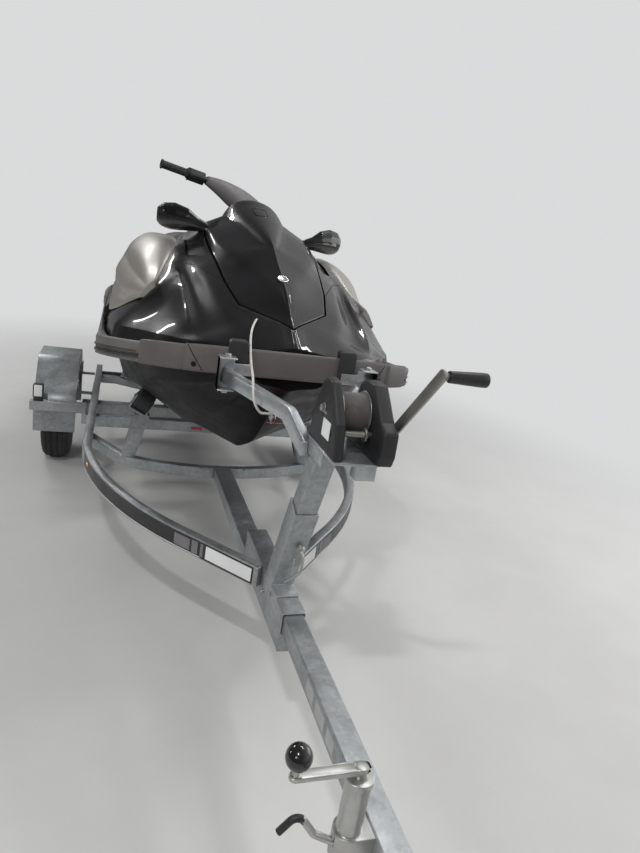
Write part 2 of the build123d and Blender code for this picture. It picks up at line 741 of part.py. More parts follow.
finish(nozzle_bracket.part, "jet_pump")

with BuildPart() as reverse_bucket:
    # Stored up: a curved shell above the nozzle with two side arms
    add(side_block([(bucket_pivot[1] - 24, pump_z + 96), (bucket_pivot[1] + 60, pump_z + 96),
                    (bucket_pivot[1] + 60, pump_z + 108), (bucket_pivot[1] - 24, pump_z + 108)], 104))
    for side in (-1, 1):
        with BuildSketch(Plane.YZ.offset(side * 90)):
            with BuildLine():
                Polyline((bucket_pivot[1] - 18, bucket_pivot[2] - 18), (bucket_pivot[1] + 18, bucket_pivot[2] - 18),
                         (bucket_pivot[1] + 60, pump_z + 108), (bucket_pivot[1] - 24, pump_z + 108), close=True)
            make_face()
            with Locations((bucket_pivot[1], bucket_pivot[2])):
                Circle(7.05, mode=Mode.SUBTRACT)
        extrude(amount=side * 14)
finish(reverse_bucket.part, "reverse_bucket")

with BuildPart() as tow_eyes:
    with BuildLine() as eye_path:
        FilletPolyline((0, eye_y - 22 - 40 * eye_out[0], eye_z + 15 - 40 * eye_out[1]),
                       (0, eye_y - 22 + eye_reach * eye_out[0], eye_z + 15 + eye_reach * eye_out[1]),
                       (0, eye_y + 22 + eye_reach * eye_out[0], eye_z - 15 + eye_reach * eye_out[1]),
                       (0, eye_y + 22 - 40 * eye_out[0], eye_z - 15 - 40 * eye_out[1]), radius=14)
    with BuildSketch(Plane(origin=eye_path.line @ 0, z_dir=eye_path.line % 0)):
        Circle(6)
    sweep()
    for side in (-1, 1):
        with BuildLine() as stern_path:
            FilletPolyline((side * 330, transom_y - 20, 850), (side * 330, transom_y + 36, 850),
                           (side * 330, transom_y + 36, 790), (side * 330, transom_y - 20, 790), radius=14)
        with BuildSketch(Plane(origin=stern_path.line @ 0, z_dir=stern_path.line % 0)):
            Circle(6)
        sweep()
    add(hull.part, mode=Mode.SUBTRACT)
finish(tow_eyes.part, "tow_eyes")

# Trailer frame

post_lean = 22.6
post_foot = (0, nose_y + 1365, 460)
post_size = 60
post_sleeve_size = 70
post_sleeve_length = 330
post_length = 585

with BuildPart() as drawbar:
    with BuildSketch(Plane.XZ.offset(-(nose_y + 92))):
        with Locations((0, drawbar_top - drawbar_size / 2)):
            RectangleRounded(drawbar_size, drawbar_size, 6)
            Rectangle(drawbar_size - 2 * tube_wall, drawbar_size - 2 * tube_wall, mode=Mode.SUBTRACT)
    extrude(amount=-(sleeve_end_y - nose_y - 92 - 300))
finish(drawbar.part, "drawbar")

beam_width = 80
beam_height = 56
beam_top = drawbar_top - drawbar_size - seat_gap - sleeve_wall
cross_y = 45
with BuildPart() as main_beam:
    with BuildSketch(Plane.XZ.offset(-sleeve_lip_y)):
        with Locations((0, drawbar_top + sleeve_wall - sleeve_height / 2)):
            Rectangle(drawbar_size + 2 * sleeve_wall, sleeve_height)
        with Locations((0, drawbar_top - drawbar_size / 2)):
            Rectangle(drawbar_size + 2 * seat_gap, drawbar_size + 2 * seat_gap, mode=Mode.SUBTRACT)
    extrude(amount=-(sleeve_end_y - sleeve_lip_y))
    with BuildSketch(Plane.XZ.offset(-(sleeve_end_y - 40))):
        with Locations((0, drawbar_top - drawbar_size / 2)):
            Rectangle(drawbar_size + 1, drawbar_size + 1)
    extrude(amount=-40)
    with BuildSketch(Plane.XZ.offset(-sleeve_end_y)):
        with Locations((0, drawbar_top + sleeve_wall - sleeve_height + beam_height / 2)):
            RectangleRounded(beam_width, beam_height, 5)
    extrude(amount=-(cross_y + 45 - sleeve_end_y))
finish(main_beam.part, "main_beam")

member_root = (drawbar_size / 2 + sleeve_wall + seat_gap, nose_y + 1440)
with BuildPart() as one_member:
    with BuildLine() as member_path:
        first = Line((member_root[0] + 4, member_root[1]), (236, nose_y + 1672))
        second = ThreePointArc(first @ 1, (500, nose_y + 2085), (member_half, nose_y + 2560))
        Line(second @ 1, (member_half - 12, stern_y - 590))
    with BuildSketch(Plane(origin=member_path.line @ 0, x_dir=(0.7, -0.7, 0), z_dir=member_path.line % 0)):
        Rectangle(member_width, member_height)
    sweep(transition=Transition.RIGHT)
with BuildPart() as member_trim:
    with BuildSketch(Plane.XY.offset(-200)):
        with Locations((-200 + member_root[0], 0)):
            Rectangle(400, 2 * overall_length)
    extrude(amount=400)
member_z = member_top - member_height / 2
with BuildPart() as side_members:
    with Locations((0, 0, member_z)):
        add(one_member.part)
        add(member_trim.part, mode=Mode.SUBTRACT)
    mirror(about=Plane.YZ)
finish(side_members.part, "side_members")

member_low = member_top - member_height
cross_foot = (440, 215)  # where the cross member bends back, (x, y)
cross_end = (608, 500)
cross_size = 50
cross_z = member_low - cross_size / 2
with BuildPart() as front_cross:
    with BuildLine() as cross_path:
        left = Line((-cross_end[0], cross_end[1], cross_z), (-cross_foot[0], cross_foot[1], cross_z))
        middle = ThreePointArc(left @ 1, (0, cross_y + 60, cross_z), (cross_foot[0], cross_foot[1], cross_z))
        Line(middle @ 1, (cross_end[0], cross_end[1], cross_z))
    with BuildSketch(Plane(origin=cross_path.line @ 0, x_dir=(0, 0, 1), z_dir=cross_path.line % 0)):
        Rectangle(cross_size, 40)
    sweep(transition=Transition.RIGHT)
    add(main_beam.part, mode=Mode.SUBTRACT)

axle_beam_y = 1100
axle_size = 66
arm_x = 664
with BuildPart() as axle_beam:
    with BuildSketch(Plane.YZ.offset(-(arm_x - 20))):
        with Locations((axle_beam_y, member_low - axle_size / 2)):
            RectangleRounded(axle_size, axle_size, 6)
    extrude(amount=2 * (arm_x - 20))

lamp_beam_y = 830
lamp_beam_top = member_low + 2
outrigger_end = 925
with BuildPart() as lamp_outriggers:
    with BuildSketch(Plane.YZ.offset(-(member_half + 10))):
        with Locations((lamp_beam_y, member_low - 30)):
            Rectangle(56, 60)
    extrude(amount=2 * (member_half + 10))
    for side in (-1, 1):
        with BuildSketch(Plane.YZ.offset(side * (member_half - 8))):
            with Locations((lamp_beam_y, member_low - 25)):
                Rectangle(46, 50)
        extrude(amount=side * 60)
        with BuildSketch(Plane.YZ.offset(side * (member_half + 30))):
            with Locations((lamp_beam_y, 425)):
                RectangleRounded(46, 50, 5)
        extrude(amount=side * (outrigger_end - member_half - 30))
        with BuildSketch(Plane.YZ.offset(side * (member_half + 30))):
            with Locations((lamp_beam_y, 385)):
                Rectangle(46, 90)
        extrude(amount=side * 22)

rear_cross_y = stern_y - 620
with BuildPart() as rear_cross:
    with BuildSketch(Plane.XZ.offset(-rear_cross_y)):
        with BuildLine():
            Polyline((-member_half - 10, member_low), (-member_half - 10, member_low - 50), (-500, member_low - 50),
                     (-90, member_low - 120), (90, member_low - 120), (500, member_low - 50),
                     (member_half + 10, member_low - 50), (member_half + 10, member_low), (500, member_low),
                     (90, member_low - 70), (-90, member_low - 70), (-500, member_low), close=True)
        make_face()
    extrude(amount=-50)

with BuildPart() as cross_members:
    add(front_cross.part)
    add(lamp_outriggers.part)
    add(rear_cross.part)
    add(main_beam.part, mode=Mode.SUBTRACT)
finish(cross_members.part, "cross_members")

# Wheels

hub_radius = 58
stub_radius = 22


def disc_plane(side, x):
    """Plane square to the axle, at a distance from the centre, facing out."""
    return Plane(origin=(side * x, axle_y, tyre_radius), x_dir=(0, 1, 0), z_dir=(side, 0, 0))


def spun(side, rows):
    """Ring about the axle from (radius, x) rows."""
    with BuildPart() as ring:
        with BuildSketch(Plane(origin=(0, axle_y, tyre_radius), x_dir=(0, 0, 1), z_dir=(0, side, 0))):
            with BuildLine():
                Polyline(*rows, close=True)
            make_face()
        revolve(axis=Axis((0, axle_y, tyre_radius), (1, 0, 0)))
    return ring.part


for side, name in ((-1, "right"), (1, "left")):
    with BuildPart() as wheel:
        add(spun(side, [
            (stub_radius + 0.05, track_half - 62), (hub_radius, track_half - 62), (hub_radius, track_half - 12),
            (126, track_half + 14), (148, track_half - 50), (rim_radius - 6, track_half - 66),
            (rim_radius, track_half - 66), (rim_radius, track_half + 66), (rim_radius - 6, track_half + 66),
            (148, track_half + 40), (126, track_half + 22), (hub_radius + 6, track_half - 4),
            (36, track_half - 4), (36, track_half + 38), (stub_radius + 0.05, track_half + 38)]))
        with BuildSketch(disc_plane(side, track_half - 40)):
            with PolarLocations(98, 8):
                SlotOverall(34, 22, rotation=90)
        extrude(amount=90, mode=Mode.SUBTRACT)
    finish(wheel.part, f"wheel_{name}")

    half_tyre = tyre_width / 2
    with BuildPart() as tyre:
        add(spun(side, [
            (rim_radius, track_half - 64), (rim_radius, track_half + 64), (rim_radius + 40, track_half + half_tyre - 4),
            (rim_radius + 72, track_half + half_tyre), (tyre_radius - 22, track_half + half_tyre - 8),
            (tyre_radius - 4, track_half + half_tyre - 26), (tyre_radius, track_half + 30), (tyre_radius, track_half - 30),
            (tyre_radius - 4, track_half - half_tyre + 26), (tyre_radius - 22, track_half - half_tyre + 8),
            (rim_radius + 72, track_half - half_tyre), (rim_radius + 40, track_half - half_tyre + 4)]))
    finish(tyre.part, f"tyre_{name}")

# Rubber-sprung axle: the cross tube, the two swing arms and their stub shafts
with BuildPart() as swing_arms:
    for side in (-1, 1):
        with BuildSketch(Plane.YZ.offset(side * (arm_x - 20))):
            with BuildLine():
                Polyline((axle_beam_y - 34, member_low - 66), (axle_beam_y - 34, member_low),
                         (axle_beam_y + 34, member_low), (axle_y + 34, tyre_radius + 30), (axle_y + 34, tyre_radius - 34),
                         (axle_y - 34, tyre_radius - 34), close=True)
            make_face()
        extrude(amount=side * 30)
        with BuildSketch(Plane.YZ.offset(side * (arm_x - 10))):
            with Locations((axle_y, tyre_radius)):
                Circle(stub_radius)
        extrude(amount=side * (track_half + 30 - arm_x + 10))
    add(axle_beam.part)
finish(swing_arms.part, "axle")

fender_clear = 44
fender_wall = 3
fender_half = 108
fender_radius = tyre_radius + fender_clear
fender_top = tyre_radius + fender_radius + 16
arch_points = [(axle_y - fender_radius, tyre_radius - 36), (axle_y - fender_radius, tyre_radius + 150),
               (axle_y - 150, fender_top), (axle_y + 150, fender_top),
               (axle_y + fender_radius, tyre_radius + 150), (axle_y + fender_radius, tyre_radius - 36)]
with BuildPart() as fenders:
    for side in (-1, 1):
        with BuildSketch(Plane.YZ.offset(side * (track_half + fender_half))):
            with BuildLine():
                rise = FilletPolyline(*arch_points, radius=95)
                offset(rise, amount=fender_wall, side=Side.LEFT)
            make_face()
        extrude(amount=-side * 2 * fender_half)
        # Inner skirt: the arch's outline less a round opening over the tyre
        with BuildSketch(Plane.YZ.offset(side * (track_half - fender_half))):
            with BuildLine():
                FilletPolyline(*arch_points, radius=95)
                Line(arch_points[-1], arch_points[0])
            make_face()
            with Locations((axle_y, tyre_radius - 10)):
                Circle(fender_radius - 34, mode=Mode.SUBTRACT)
            with Locations((axle_y, tyre_radius - 100)):
                Rectangle(3 * fender_radius, 300, mode=Mode.SUBTRACT)
        extrude(amount=side * fender_wall)

# Brackets from the side members to the fenders' inner skirts
with BuildPart() as fender_brackets:
    for side in (-1, 1):
        for y in (axle_y - 240, axle_y + 240):
            inner = member_half + member_width / 2 - 8
            with BuildSketch(Plane.XY.offset(member_top)):
                with Locations((side * (inner + track_half - fender_half) / 2, y)):
                    Rectangle(track_half - fender_half - inner, 40)
            extrude(amount=8)
            with BuildSketch(Plane.YZ.offset(side * (track_half - fender_half))):
                with Locations((y, member_top + 40)):
                    Rectangle(40, 80)
            extrude(amount=-side * 6)
    add(fenders.part)
finish(fender_brackets.part, "fenders")

with BuildPart() as front_lamps:
    for side in (-1, 1):
        with BuildSketch(Plane.XY.offset(450)):
            with Locations((side * (outrigger_end - 40), lamp_beam_y)):
                RectangleRounded(46, 40, 8)
        extrude(amount=20)
        with BuildSketch(Plane.XZ.offset(-(lamp_beam_y + 14))):
            with Locations((side * (outrigger_end - 40), 505)):
                RectangleRounded(52, 76, 12)
        extrude(amount=28)

# Winch post, leaning towards the coupling

lean = radians(post_lean)
post_dir = Vector(0, -sin(lean), cos(lean))
post_plane = Plane(origin=post_foot, x_dir=(1, 0, 0), z_dir=post_dir)
with BuildPart() as post_sleeve:
    with BuildSketch(post_plane.offset(-60)):
        Rectangle(post_sleeve_size, post_sleeve_size)
        Rectangle(post_size + 2 * seat_gap, post_size + 2 * seat_gap, mode=Mode.SUBTRACT)
    extrude(amount=post_sleeve_length + 60)
    with BuildSketch(post_plane.offset(-60)):
        Rectangle(post_sleeve_size, post_sleeve_size)
    extrude(amount=110)
    # Foot plate and gusset on the sleeve's top
    with BuildSketch(Plane.XY.offset(drawbar_top + sleeve_wall)):
        with Locations((0, post_foot[1] - 10)):
            Rectangle(70, 190)
    extrude(amount=6)
    with BuildSketch(Plane.XY.offset(-200)):
        Rectangle(overall_length, 2 * overall_length)
    extrude(amount=200 + drawbar_top + sleeve_wall, mode=Mode.SUBTRACT)
finish(post_sleeve.part, "post_sleeve")

with BuildPart() as winch_post:
    with BuildSketch(post_plane.offset(52)):
        RectangleRounded(post_size, post_size, 5)
        Rectangle(post_size - 2 * tube_wall, post_size - 2 * tube_wall, mode=Mode.SUBTRACT)
    extrude(amount=post_length - 52)
    with BuildPart(mode=Mode.PRIVATE) as post_cut:
        with BuildSketch(Plane.XY.offset(978)):
            Rectangle(1000, 2 * overall_length)
        extrude(amount=400)
    add(post_cut.part, mode=Mode.SUBTRACT)
finish(winch_post.part, "winch_post")

winch_x = 24
winch_half = 58
winch_front_y = nose_y + 1000
winch_rear_y = nose_y + 1222
winch_base_z = 978
with BuildPart() as winch_base:
    with BuildSketch(Plane.XY.offset(winch_base_z)):
        with Locations((winch_x, (winch_front_y + winch_rear_y) / 2)):
            Rectangle(2 * winch_half, winch_rear_y - winch_front_y)
    extrude(amount=7)
    # Rolled edges down both sides of the post, and the short carrier tube
    for side in (-1, 1):
        with BuildSketch(Plane.YZ.offset(side * 31)):
            with Locations((nose_y + 1140, winch_base_z - 18)):
                Rectangle(110, 36)
        extrude(amount=side * 5)
    with BuildSketch(Plane.YZ.offset(36)):
        with Locations((winch_front_y + 40, winch_base_z - 22)):
            Rectangle(40, 44)
    extrude(amount=52)
    add(winch_post.part, mode=Mode.SUBTRACT)
finish(winch_base.part, "winch_base")

drum_y = winch_front_y + 116
drum_z = winch_base_z + 100
shaft_y = winch_front_y + 58
shaft_z = winch_base_z + 62
left_cover_x = winch_x - winch_half
right_cover_x = winch_x + winch_half
cover_thick = 26
winch_top = 182
with BuildPart() as winch_covers:
    # Left cover, then the right gear cover with its lower bulge
    for x, thick, rows in [
            (left_cover_x, cover_thick, [
                (winch_front_y + 4, 7), (winch_rear_y - 4, 7), (winch_rear_y - 22, 70), (drum_y + 48, winch_top - 20),
                (drum_y + 20, winch_top), (drum_y - 22, winch_top - 4), (winch_front_y + 24, 92)]),
            (right_cover_x - 12, 38, [
                (winch_front_y - 16, 7), (winch_rear_y - 20, 7), (winch_rear_y - 20, 80), (drum_y + 56, winch_top - 20),
                (drum_y + 24, winch_top), (drum_y - 30, winch_top), (drum_y - 62, winch_top - 30),
                (winch_front_y + 10, 108), (winch_front_y - 24, 92), (winch_front_y - 26, 34)])]:
        with BuildSketch(Plane.YZ.offset(x)):
            with BuildLine():
                Polyline(*[(y, winch_base_z + z) for y, z in rows], close=True)
            corners = make_face()
            fillet(corners.vertices().sort_by(Axis.Y)[2:], radius=13)
        extrude(amount=thick)
    # Shaft holes
    with BuildSketch(Plane.YZ.offset(left_cover_x - 1)):
        with Locations((drum_y, drum_z)):
            Circle(10.1)
        with Locations((shaft_y, shaft_z)):
            Circle(8.1)
    extrude(amount=200, mode=Mode.SUBTRACT)
finish(winch_covers.part, "winch_covers")

drum_start = left_cover_x + cover_thick + 2
drum_length = right_cover_x - 12 - 2 - drum_start
with BuildPart() as winch_drum:
    with BuildSketch(Plane.YZ.offset(left_cover_x + 2)):
        with Locations((drum_y, drum_z)):
            Circle(10)
    extrude(amount=right_cover_x + 20 - left_cover_x)
    with BuildSketch(Plane.YZ.offset(drum_start)):
        with Locations((drum_y, drum_z)):
            Circle(44)
    extrude(amount=drum_length)
    for x in (drum_start, drum_start + drum_length - 3):
        with BuildSketch(Plane.YZ.offset(x)):
            with Locations((drum_y, drum_z)):
                Circle(56)
        extrude(amount=3)
finish(winch_drum.part, "winch_drum")

crank_x = right_cover_x + 34
crank_end = (nose_y + 875, 1236)
with BuildPart() as winch_crank:
    with BuildSketch(Plane.YZ.offset(left_cover_x + 4)):
        with Locations((shaft_y, shaft_z)):
            Circle(8)
    extrude(amount=crank_x - left_cover_x - 4)
    with BuildSketch(Plane.YZ.offset(crank_x - 2)):
        with Locations((shaft_y, shaft_z)):
            Rectangle(34, 34)
    extrude(amount=22)
    # Ratchet wheel between the covers
    with BuildSketch(Plane.YZ.offset(right_cover_x - 29)):
        with Locations((shaft_y, shaft_z)):
            Circle(17)
    extrude(amount=6)
    with BuildSketch(Plane.YZ.offset(crank_x + 6)):
        with BuildLine():
            Polyline(*bar_shape((shaft_y, shaft_z), crank_end, 30), close=True)
        make_face()
        with Locations(crank_end):
            Circle(15)
    extrude(amount=6)
    with BuildSketch(Plane.YZ.offset(crank_x + 12)):
        with Locations(crank_end):
            Circle(8)
    extrude(amount=12)
finish(winch_crank.part, "winch_crank")

with BuildPart() as crank_handle:
    with BuildSketch(Plane.YZ.offset(crank_x + 24)):
        with Locations(crank_end):
            Circle(13)
    with BuildSketch(Plane.YZ.offset(crank_x + 100)):
        with Locations(crank_end):
            Circle(16)
    loft()
    with BuildSketch(Plane.YZ.offset(crank_x + 100)):
        with Locations(crank_end):
            Circle(16)
    extrude(amount=18)
finish(crank_handle.part, "crank_handle")

strap_half = 21
strap_x = drum_start + 4 + strap_half
strap_thick = 2.6
strap_ends = [(strap_x, drum_y + 26, drum_z - 49),
              (0, eye_y + (eye_reach + 7) * eye_out[0], eye_z + (eye_reach + 7) * eye_out[1])]
with BuildPart() as winch_strap:
    for x, y, z in strap_ends:
        with BuildSketch(Plane.XZ.offset(-y)):
            with Locations((x, z)):
                Rectangle(2 * strap_half, strap_thick)
    loft(ruled=True)
    add(tow_eyes.part, mode=Mode.SUBTRACT)
finish(winch_strap.part, "winch_strap")

# Bow support: two bent arms with pads against the bow bumper

arm_size = 40
pad_plate_y = nose_y + 1498
plate_thick_bow = 6
bracket_x = 218
bracket_half = 25
bracket_z = (1020, 1118)
pad_places = (-183, 158)  # each pad is set on its tongue where the hull meets it
pad_z = 1110
arm_end = (bracket_x, pad_plate_y - 2, 1060)
with BuildPart() as bow_support:
    for side in (-1, 1):
        with BuildLine() as arm_path:
            FilletPolyline((side * 39, nose_y + 1210, 950), (side * 79, nose_y + 1262, 1022),
                           (side * arm_end[0], arm_end[1], arm_end[2]), radius=24)
        with BuildSketch(Plane(origin=arm_path.line @ 0, x_dir=(0, 0, 1), z_dir=arm_path.line % 0)):
            Rectangle(arm_size, arm_size * 0.75)
        sweep(transition=Transition.RIGHT)
        # Bent bracket on the arm's end: upright, two flanges, and the tongue behind the pad's foot
        with BuildSketch(Plane.YZ.offset(side * (bracket_x - bracket_half))):
            with BuildLine():
                Polyline((pad_plate_y - 44, bracket_z[0]), (pad_plate_y, bracket_z[0]), (pad_plate_y, bracket_z[1]),
                         (pad_plate_y - 44, bracket_z[1]), (pad_plate_y - 44, bracket_z[1] - 5),
                         (pad_plate_y - plate_thick_bow, bracket_z[1] - 5), (pad_plate_y - plate_thick_bow, bracket_z[0] + 5),
                         (pad_plate_y - 44, bracket_z[0] + 5), close=True)
            make_face()
        extrude(amount=side * 2 * bracket_half)
        with BuildSketch(Plane.XZ.offset(-pad_plate_y)):
            with Locations((side * 190, 1079)):
                Rectangle(100, 34)
        extrude(amount=plate_thick_bow)
    with BuildSketch(Plane.XY.offset(930)):
        with Locations((0, nose_y + 1212)):
            Rectangle(110, 46)
    extrude(amount=40)
    with BuildSketch(Plane.XZ.offset(-pad_plate_y)):
        with Locations((0, 1100)):
            Rectangle(beam, 300)
    extrude(amount=-60, mode=Mode.SUBTRACT)
    add(grown(winch_post.part), mode=Mode.SUBTRACT)
    add(winch_base.part, mode=Mode.SUBTRACT)
    add(winch_covers.part, mode=Mode.SUBTRACT)
finish(bow_support.part, "bow_support")

with BuildPart() as bow_pads:
    with BuildSketch(Plane.XZ.offset(-pad_plate_y)):
        with Locations(*[(x, pad_z) for x in pad_places]):
            RectangleRounded(54, 104, 10)
    extrude(amount=-40)
    add(grown(bow_bumper.part), mode=Mode.SUBTRACT)
    add(grown(bumper_corners.part), mode=Mode.SUBTRACT)
    add(grown(hull.part), mode=Mode.SUBTRACT)
    add(grown(deck.part), mode=Mode.SUBTRACT)
finish(bow_pads.part, "bow_pads")

# Coupling and jockey wheel

coupling_z = drawbar_top - drawbar_size / 2
ball_bore = 50
with BuildPart() as coupling:
    with BuildSketch(Plane.XY.offset(coupling_z - 34)):
        with BuildLine():
            Polyline((-34, nose_y + 40), (-34, nose_y + 300), (34, nose_y + 300), (34, nose_y + 40))
            ThreePointArc((34, nose_y + 40), (0, nose_y), (-34, nose_y + 40))
        make_face()
    extrude(amount=72)
    with BuildPart(mode=Mode.PRIVATE) as bar_space:
        with BuildSketch(Plane.XZ.offset(-(nose_y + 92 - seat_gap))):
            with Locations((0, coupling_z)):
                Rectangle(drawbar_size + 2 * seat_gap, drawbar_size + 2 * seat_gap)
        extrude(amount=-400)
    add(bar_space.part, mode=Mode.SUBTRACT)
    add(side_block([(nose_y + 52, coupling_z + 30), (nose_y + 96, coupling_z + 30), (nose_y + 110, coupling_z + 62),
                    (nose_y + 226, coupling_z + 82), (nose_y + 222, coupling_z + 94), (nose_y + 96, coupling_z + 80),
                    (nose_y + 60, coupling_z + 56)], 15))
    with BuildSketch(Plane.XY.offset(coupling_z - 34)):
        with Locations((0, nose_y + 44)):
            Circle(ball_bore / 2)
    extrude(amount=40, mode=Mode.SUBTRACT)
finish(coupling.part, "coupling")

jockey_x = -72
jockey_y = nose_y + 525
jockey_tube_radius = 24
jockey_leg_radius = 20.9
jockey_top = 560
jockey_foot_z = 384
jockey_lift = 100
with BuildPart() as jockey_post:
    with BuildSketch(Plane.XY.offset(jockey_foot_z)):
        with Locations((jockey_x, jockey_y)):
            Circle(jockey_tube_radius)
            Circle(jockey_leg_radius + 0.1, mode=Mode.SUBTRACT)
    extrude(amount=jockey_top - jockey_foot_z)
    with BuildSketch(Plane.XY.offset(jockey_top)):
        with Locations((jockey_x, jockey_y)):
            Circle(jockey_tube_radius + 3)
    extrude(amount=14)
    # Clamp on the drawbar's side
    with BuildSketch(Plane.XY.offset(drawbar_top - 60)):
        with Locations((jockey_x, jockey_y)):
            Circle(jockey_tube_radius + 6)
        with Locations(((jockey_x - drawbar_size / 2) / 2, jockey_y)):
            Rectangle(-drawbar_size / 2 - jockey_x, 60)
        with Locations((jockey_x, jockey_y)):
            Circle(jockey_tube_radius - 1, mode=Mode.SUBTRACT)
    extrude(amount=60)
    with BuildLine() as lever_path:
        FilletPolyline((jockey_x - 26, jockey_y - 2, 428), (jockey_x - 66, jockey_y + 4, 448),
                       (jockey_x - 98, jockey_y + 12, 492), (jockey_x - 130, jockey_y + 14, 452), radius=16)
    with BuildSketch(Plane(origin=lever_path.line @ 0, z_dir=lever_path.line % 0)):
        Circle(7)
    sweep()
finish(jockey_post.part, "jockey_post")

jockey_wheel_radius = 100
jockey_trail = 30
fork_top = 260
with BuildPart() as jockey_leg:
    with BuildSketch(Plane.XY.offset(fork_top + 14)):
        with Locations((jockey_x, jockey_y)):
            Circle(jockey_leg_radius)
    extrude(amount=jockey_top - jockey_lift - 6 - fork_top - 14)
finish(jockey_leg.part, "jockey_leg")

with BuildPart() as jockey_fork:
    with BuildSketch(Plane.XY.offset(fork_top - 22)):
        with Locations((jockey_x, jockey_y)):
            RectangleRounded(76, 60, 8)
    extrude(amount=8)
    with BuildSketch(Plane.XY.offset(fork_top - 14)):
        with Locations((jockey_x, jockey_y)):
            Circle(26)
    extrude(amount=14 + 13.7)
    for side in (-1, 1):
        with BuildSketch(Plane.YZ.offset(jockey_x + side * 33)):
            with BuildLine():
                Polyline((jockey_y - 28, fork_top - 18), (jockey_y + 30, fork_top - 18),
                         (jockey_y + jockey_trail + 18, jockey_wheel_radius - 16),
                         (jockey_y + jockey_trail - 18, jockey_wheel_radius - 16), close=True)
            make_face()
        extrude(amount=side * 5)
    with BuildSketch(Plane.YZ.offset(jockey_x - 44)):
        with Locations((jockey_y + jockey_trail, jockey_wheel_radius)):
            Circle(7)
    extrude(amount=88)
finish(jockey_fork.part, "jockey_fork")

with BuildPart() as jockey_wheel:
    with BuildSketch(Plane(origin=(jockey_x, jockey_y + jockey_trail, jockey_wheel_radius), x_dir=(0, 0, 1),
                           z_dir=(0, 1, 0))):
        with BuildLine():
            Polyline((7.05, -26), (7.05, 26), (22, 26), (30, 12), (62, 12), (70, 28), (90, 28), (100, 16), (100, -16),
                     (90, -28), (70, -28), (62, -12), (30, -12), (22, -26), close=True)
        make_face()
    revolve(axis=Axis((jockey_x, jockey_y + jockey_trail, jockey_wheel_radius), (1, 0, 0)))
finish(jockey_wheel.part, "jockey_wheel")

with BuildPart() as jockey_crank:
    with BuildSketch(Plane.XY.offset(jockey_top + 14)):
        with Locations((jockey_x, jockey_y)):
            Circle(12)
    extrude(amount=22)
    with BuildSketch(Plane.XY.offset(jockey_top + 26)):
        with Locations((jockey_x - 60, jockey_y)):
            SlotCenterToCenter(126, 22)
    extrude(amount=9)
    with BuildSketch(Plane.XY.offset(jockey_top + 35)):
        with Locations((jockey_x - 122, jockey_y)):
            Circle(7)
    extrude(amount=22)
    with Locations((jockey_x - 122, jockey_y, jockey_top + 72)):
        Sphere(24)
finish(jockey_crank.part, "jockey_crank")

# Supports under the hull: four side rollers and two keel rollers

roller_radius = 50
roller_length = 74
keel_roller_radius = 36
support_x = 352
# station of the roller, foot on the cross member (x, z)
side_support_rows = [(cross_foot[1], 430, member_low), (rear_cross_y + 25, 430, member_low)]
# station of the roller, height of the cross member under it
keel_support_rows = [(lamp_beam_y, member_low), (rear_cross_y + 25, member_low - 70)]


def side_roller(y):
    """Direction along a side roller and its centre (x, z), against the hull's lower side panel."""
    keel, inner, outer = interpolated(hull_rows, y)[1:4]
    along = Vector(outer[0] - inner[0], outer[1] - inner[1]).normalized()
    touch_z = inner[1] + (support_x - inner[0]) * along.Y / along.X
    reach = roller_radius + seat_gap
    return along, (support_x + along.Y * reach, touch_z - along.X * reach)


with BuildPart() as roller_brackets:
    for y, foot_x, foot_z in side_support_rows:
        slope, centre = side_roller(y)
        for side in (-1, 1):
            # Upright, then the fork and the pin along the roller
            with BuildSketch(Plane.XZ.offset(-(y + 25))):
                with BuildLine():
                    Polyline((side * (foot_x - 30), foot_z), (side * (foot_x + 30), foot_z),
                             (side * (centre[0] + 40), centre[1] - roller_radius - 14),
                             (side * (centre[0] - 30), centre[1] - roller_radius - 14), close=True)
                make_face()
            extrude(amount=50)
            cradle = Plane(origin=(side * centre[0], y, centre[1]), x_dir=(slope.X, 0, side * slope.Y), z_dir=(0, -1, 0))
            with BuildSketch(cradle.offset(-25)):
                with Locations((roller_length / 2 + 4, -20), (-roller_length / 2 - 4, -20)):
                    Rectangle(6, 68)
                with Locations((0, -roller_radius - 8)):
                    Rectangle(roller_length + 14, 12)
            extrude(amount=50)
            with BuildSketch(Plane(origin=(side * centre[0], y, centre[1]), z_dir=(slope.X, 0, side * slope.Y))):
                Circle(8)
            extrude(amount=roller_length / 2 + 14, both=True)
    for y, foot_z in keel_support_rows:
        keel = interpolated(hull_rows, y)[1]
        pin_z = keel - keel_roller_radius - seat_gap
        with BuildSketch(Plane.YZ.offset(-62)):
            with BuildLine():
                Polyline((y - 25, foot_z), (y + 25, foot_z), (y + 14, pin_z + 12), (y - 14, pin_z + 12), close=True)
            make_face()
        extrude(amount=6)
        with BuildSketch(Plane.YZ.offset(56)):
            with BuildLine():
                Polyline((y - 25, foot_z), (y + 25, foot_z), (y + 14, pin_z + 12), (y - 14, pin_z + 12), close=True)
            make_face()
        extrude(amount=6)
        with BuildSketch(Plane.YZ.offset(-66)):
            with Locations((y, pin_z)):
                Circle(8)
        extrude(amount=132)
finish(roller_brackets.part, "roller_brackets")

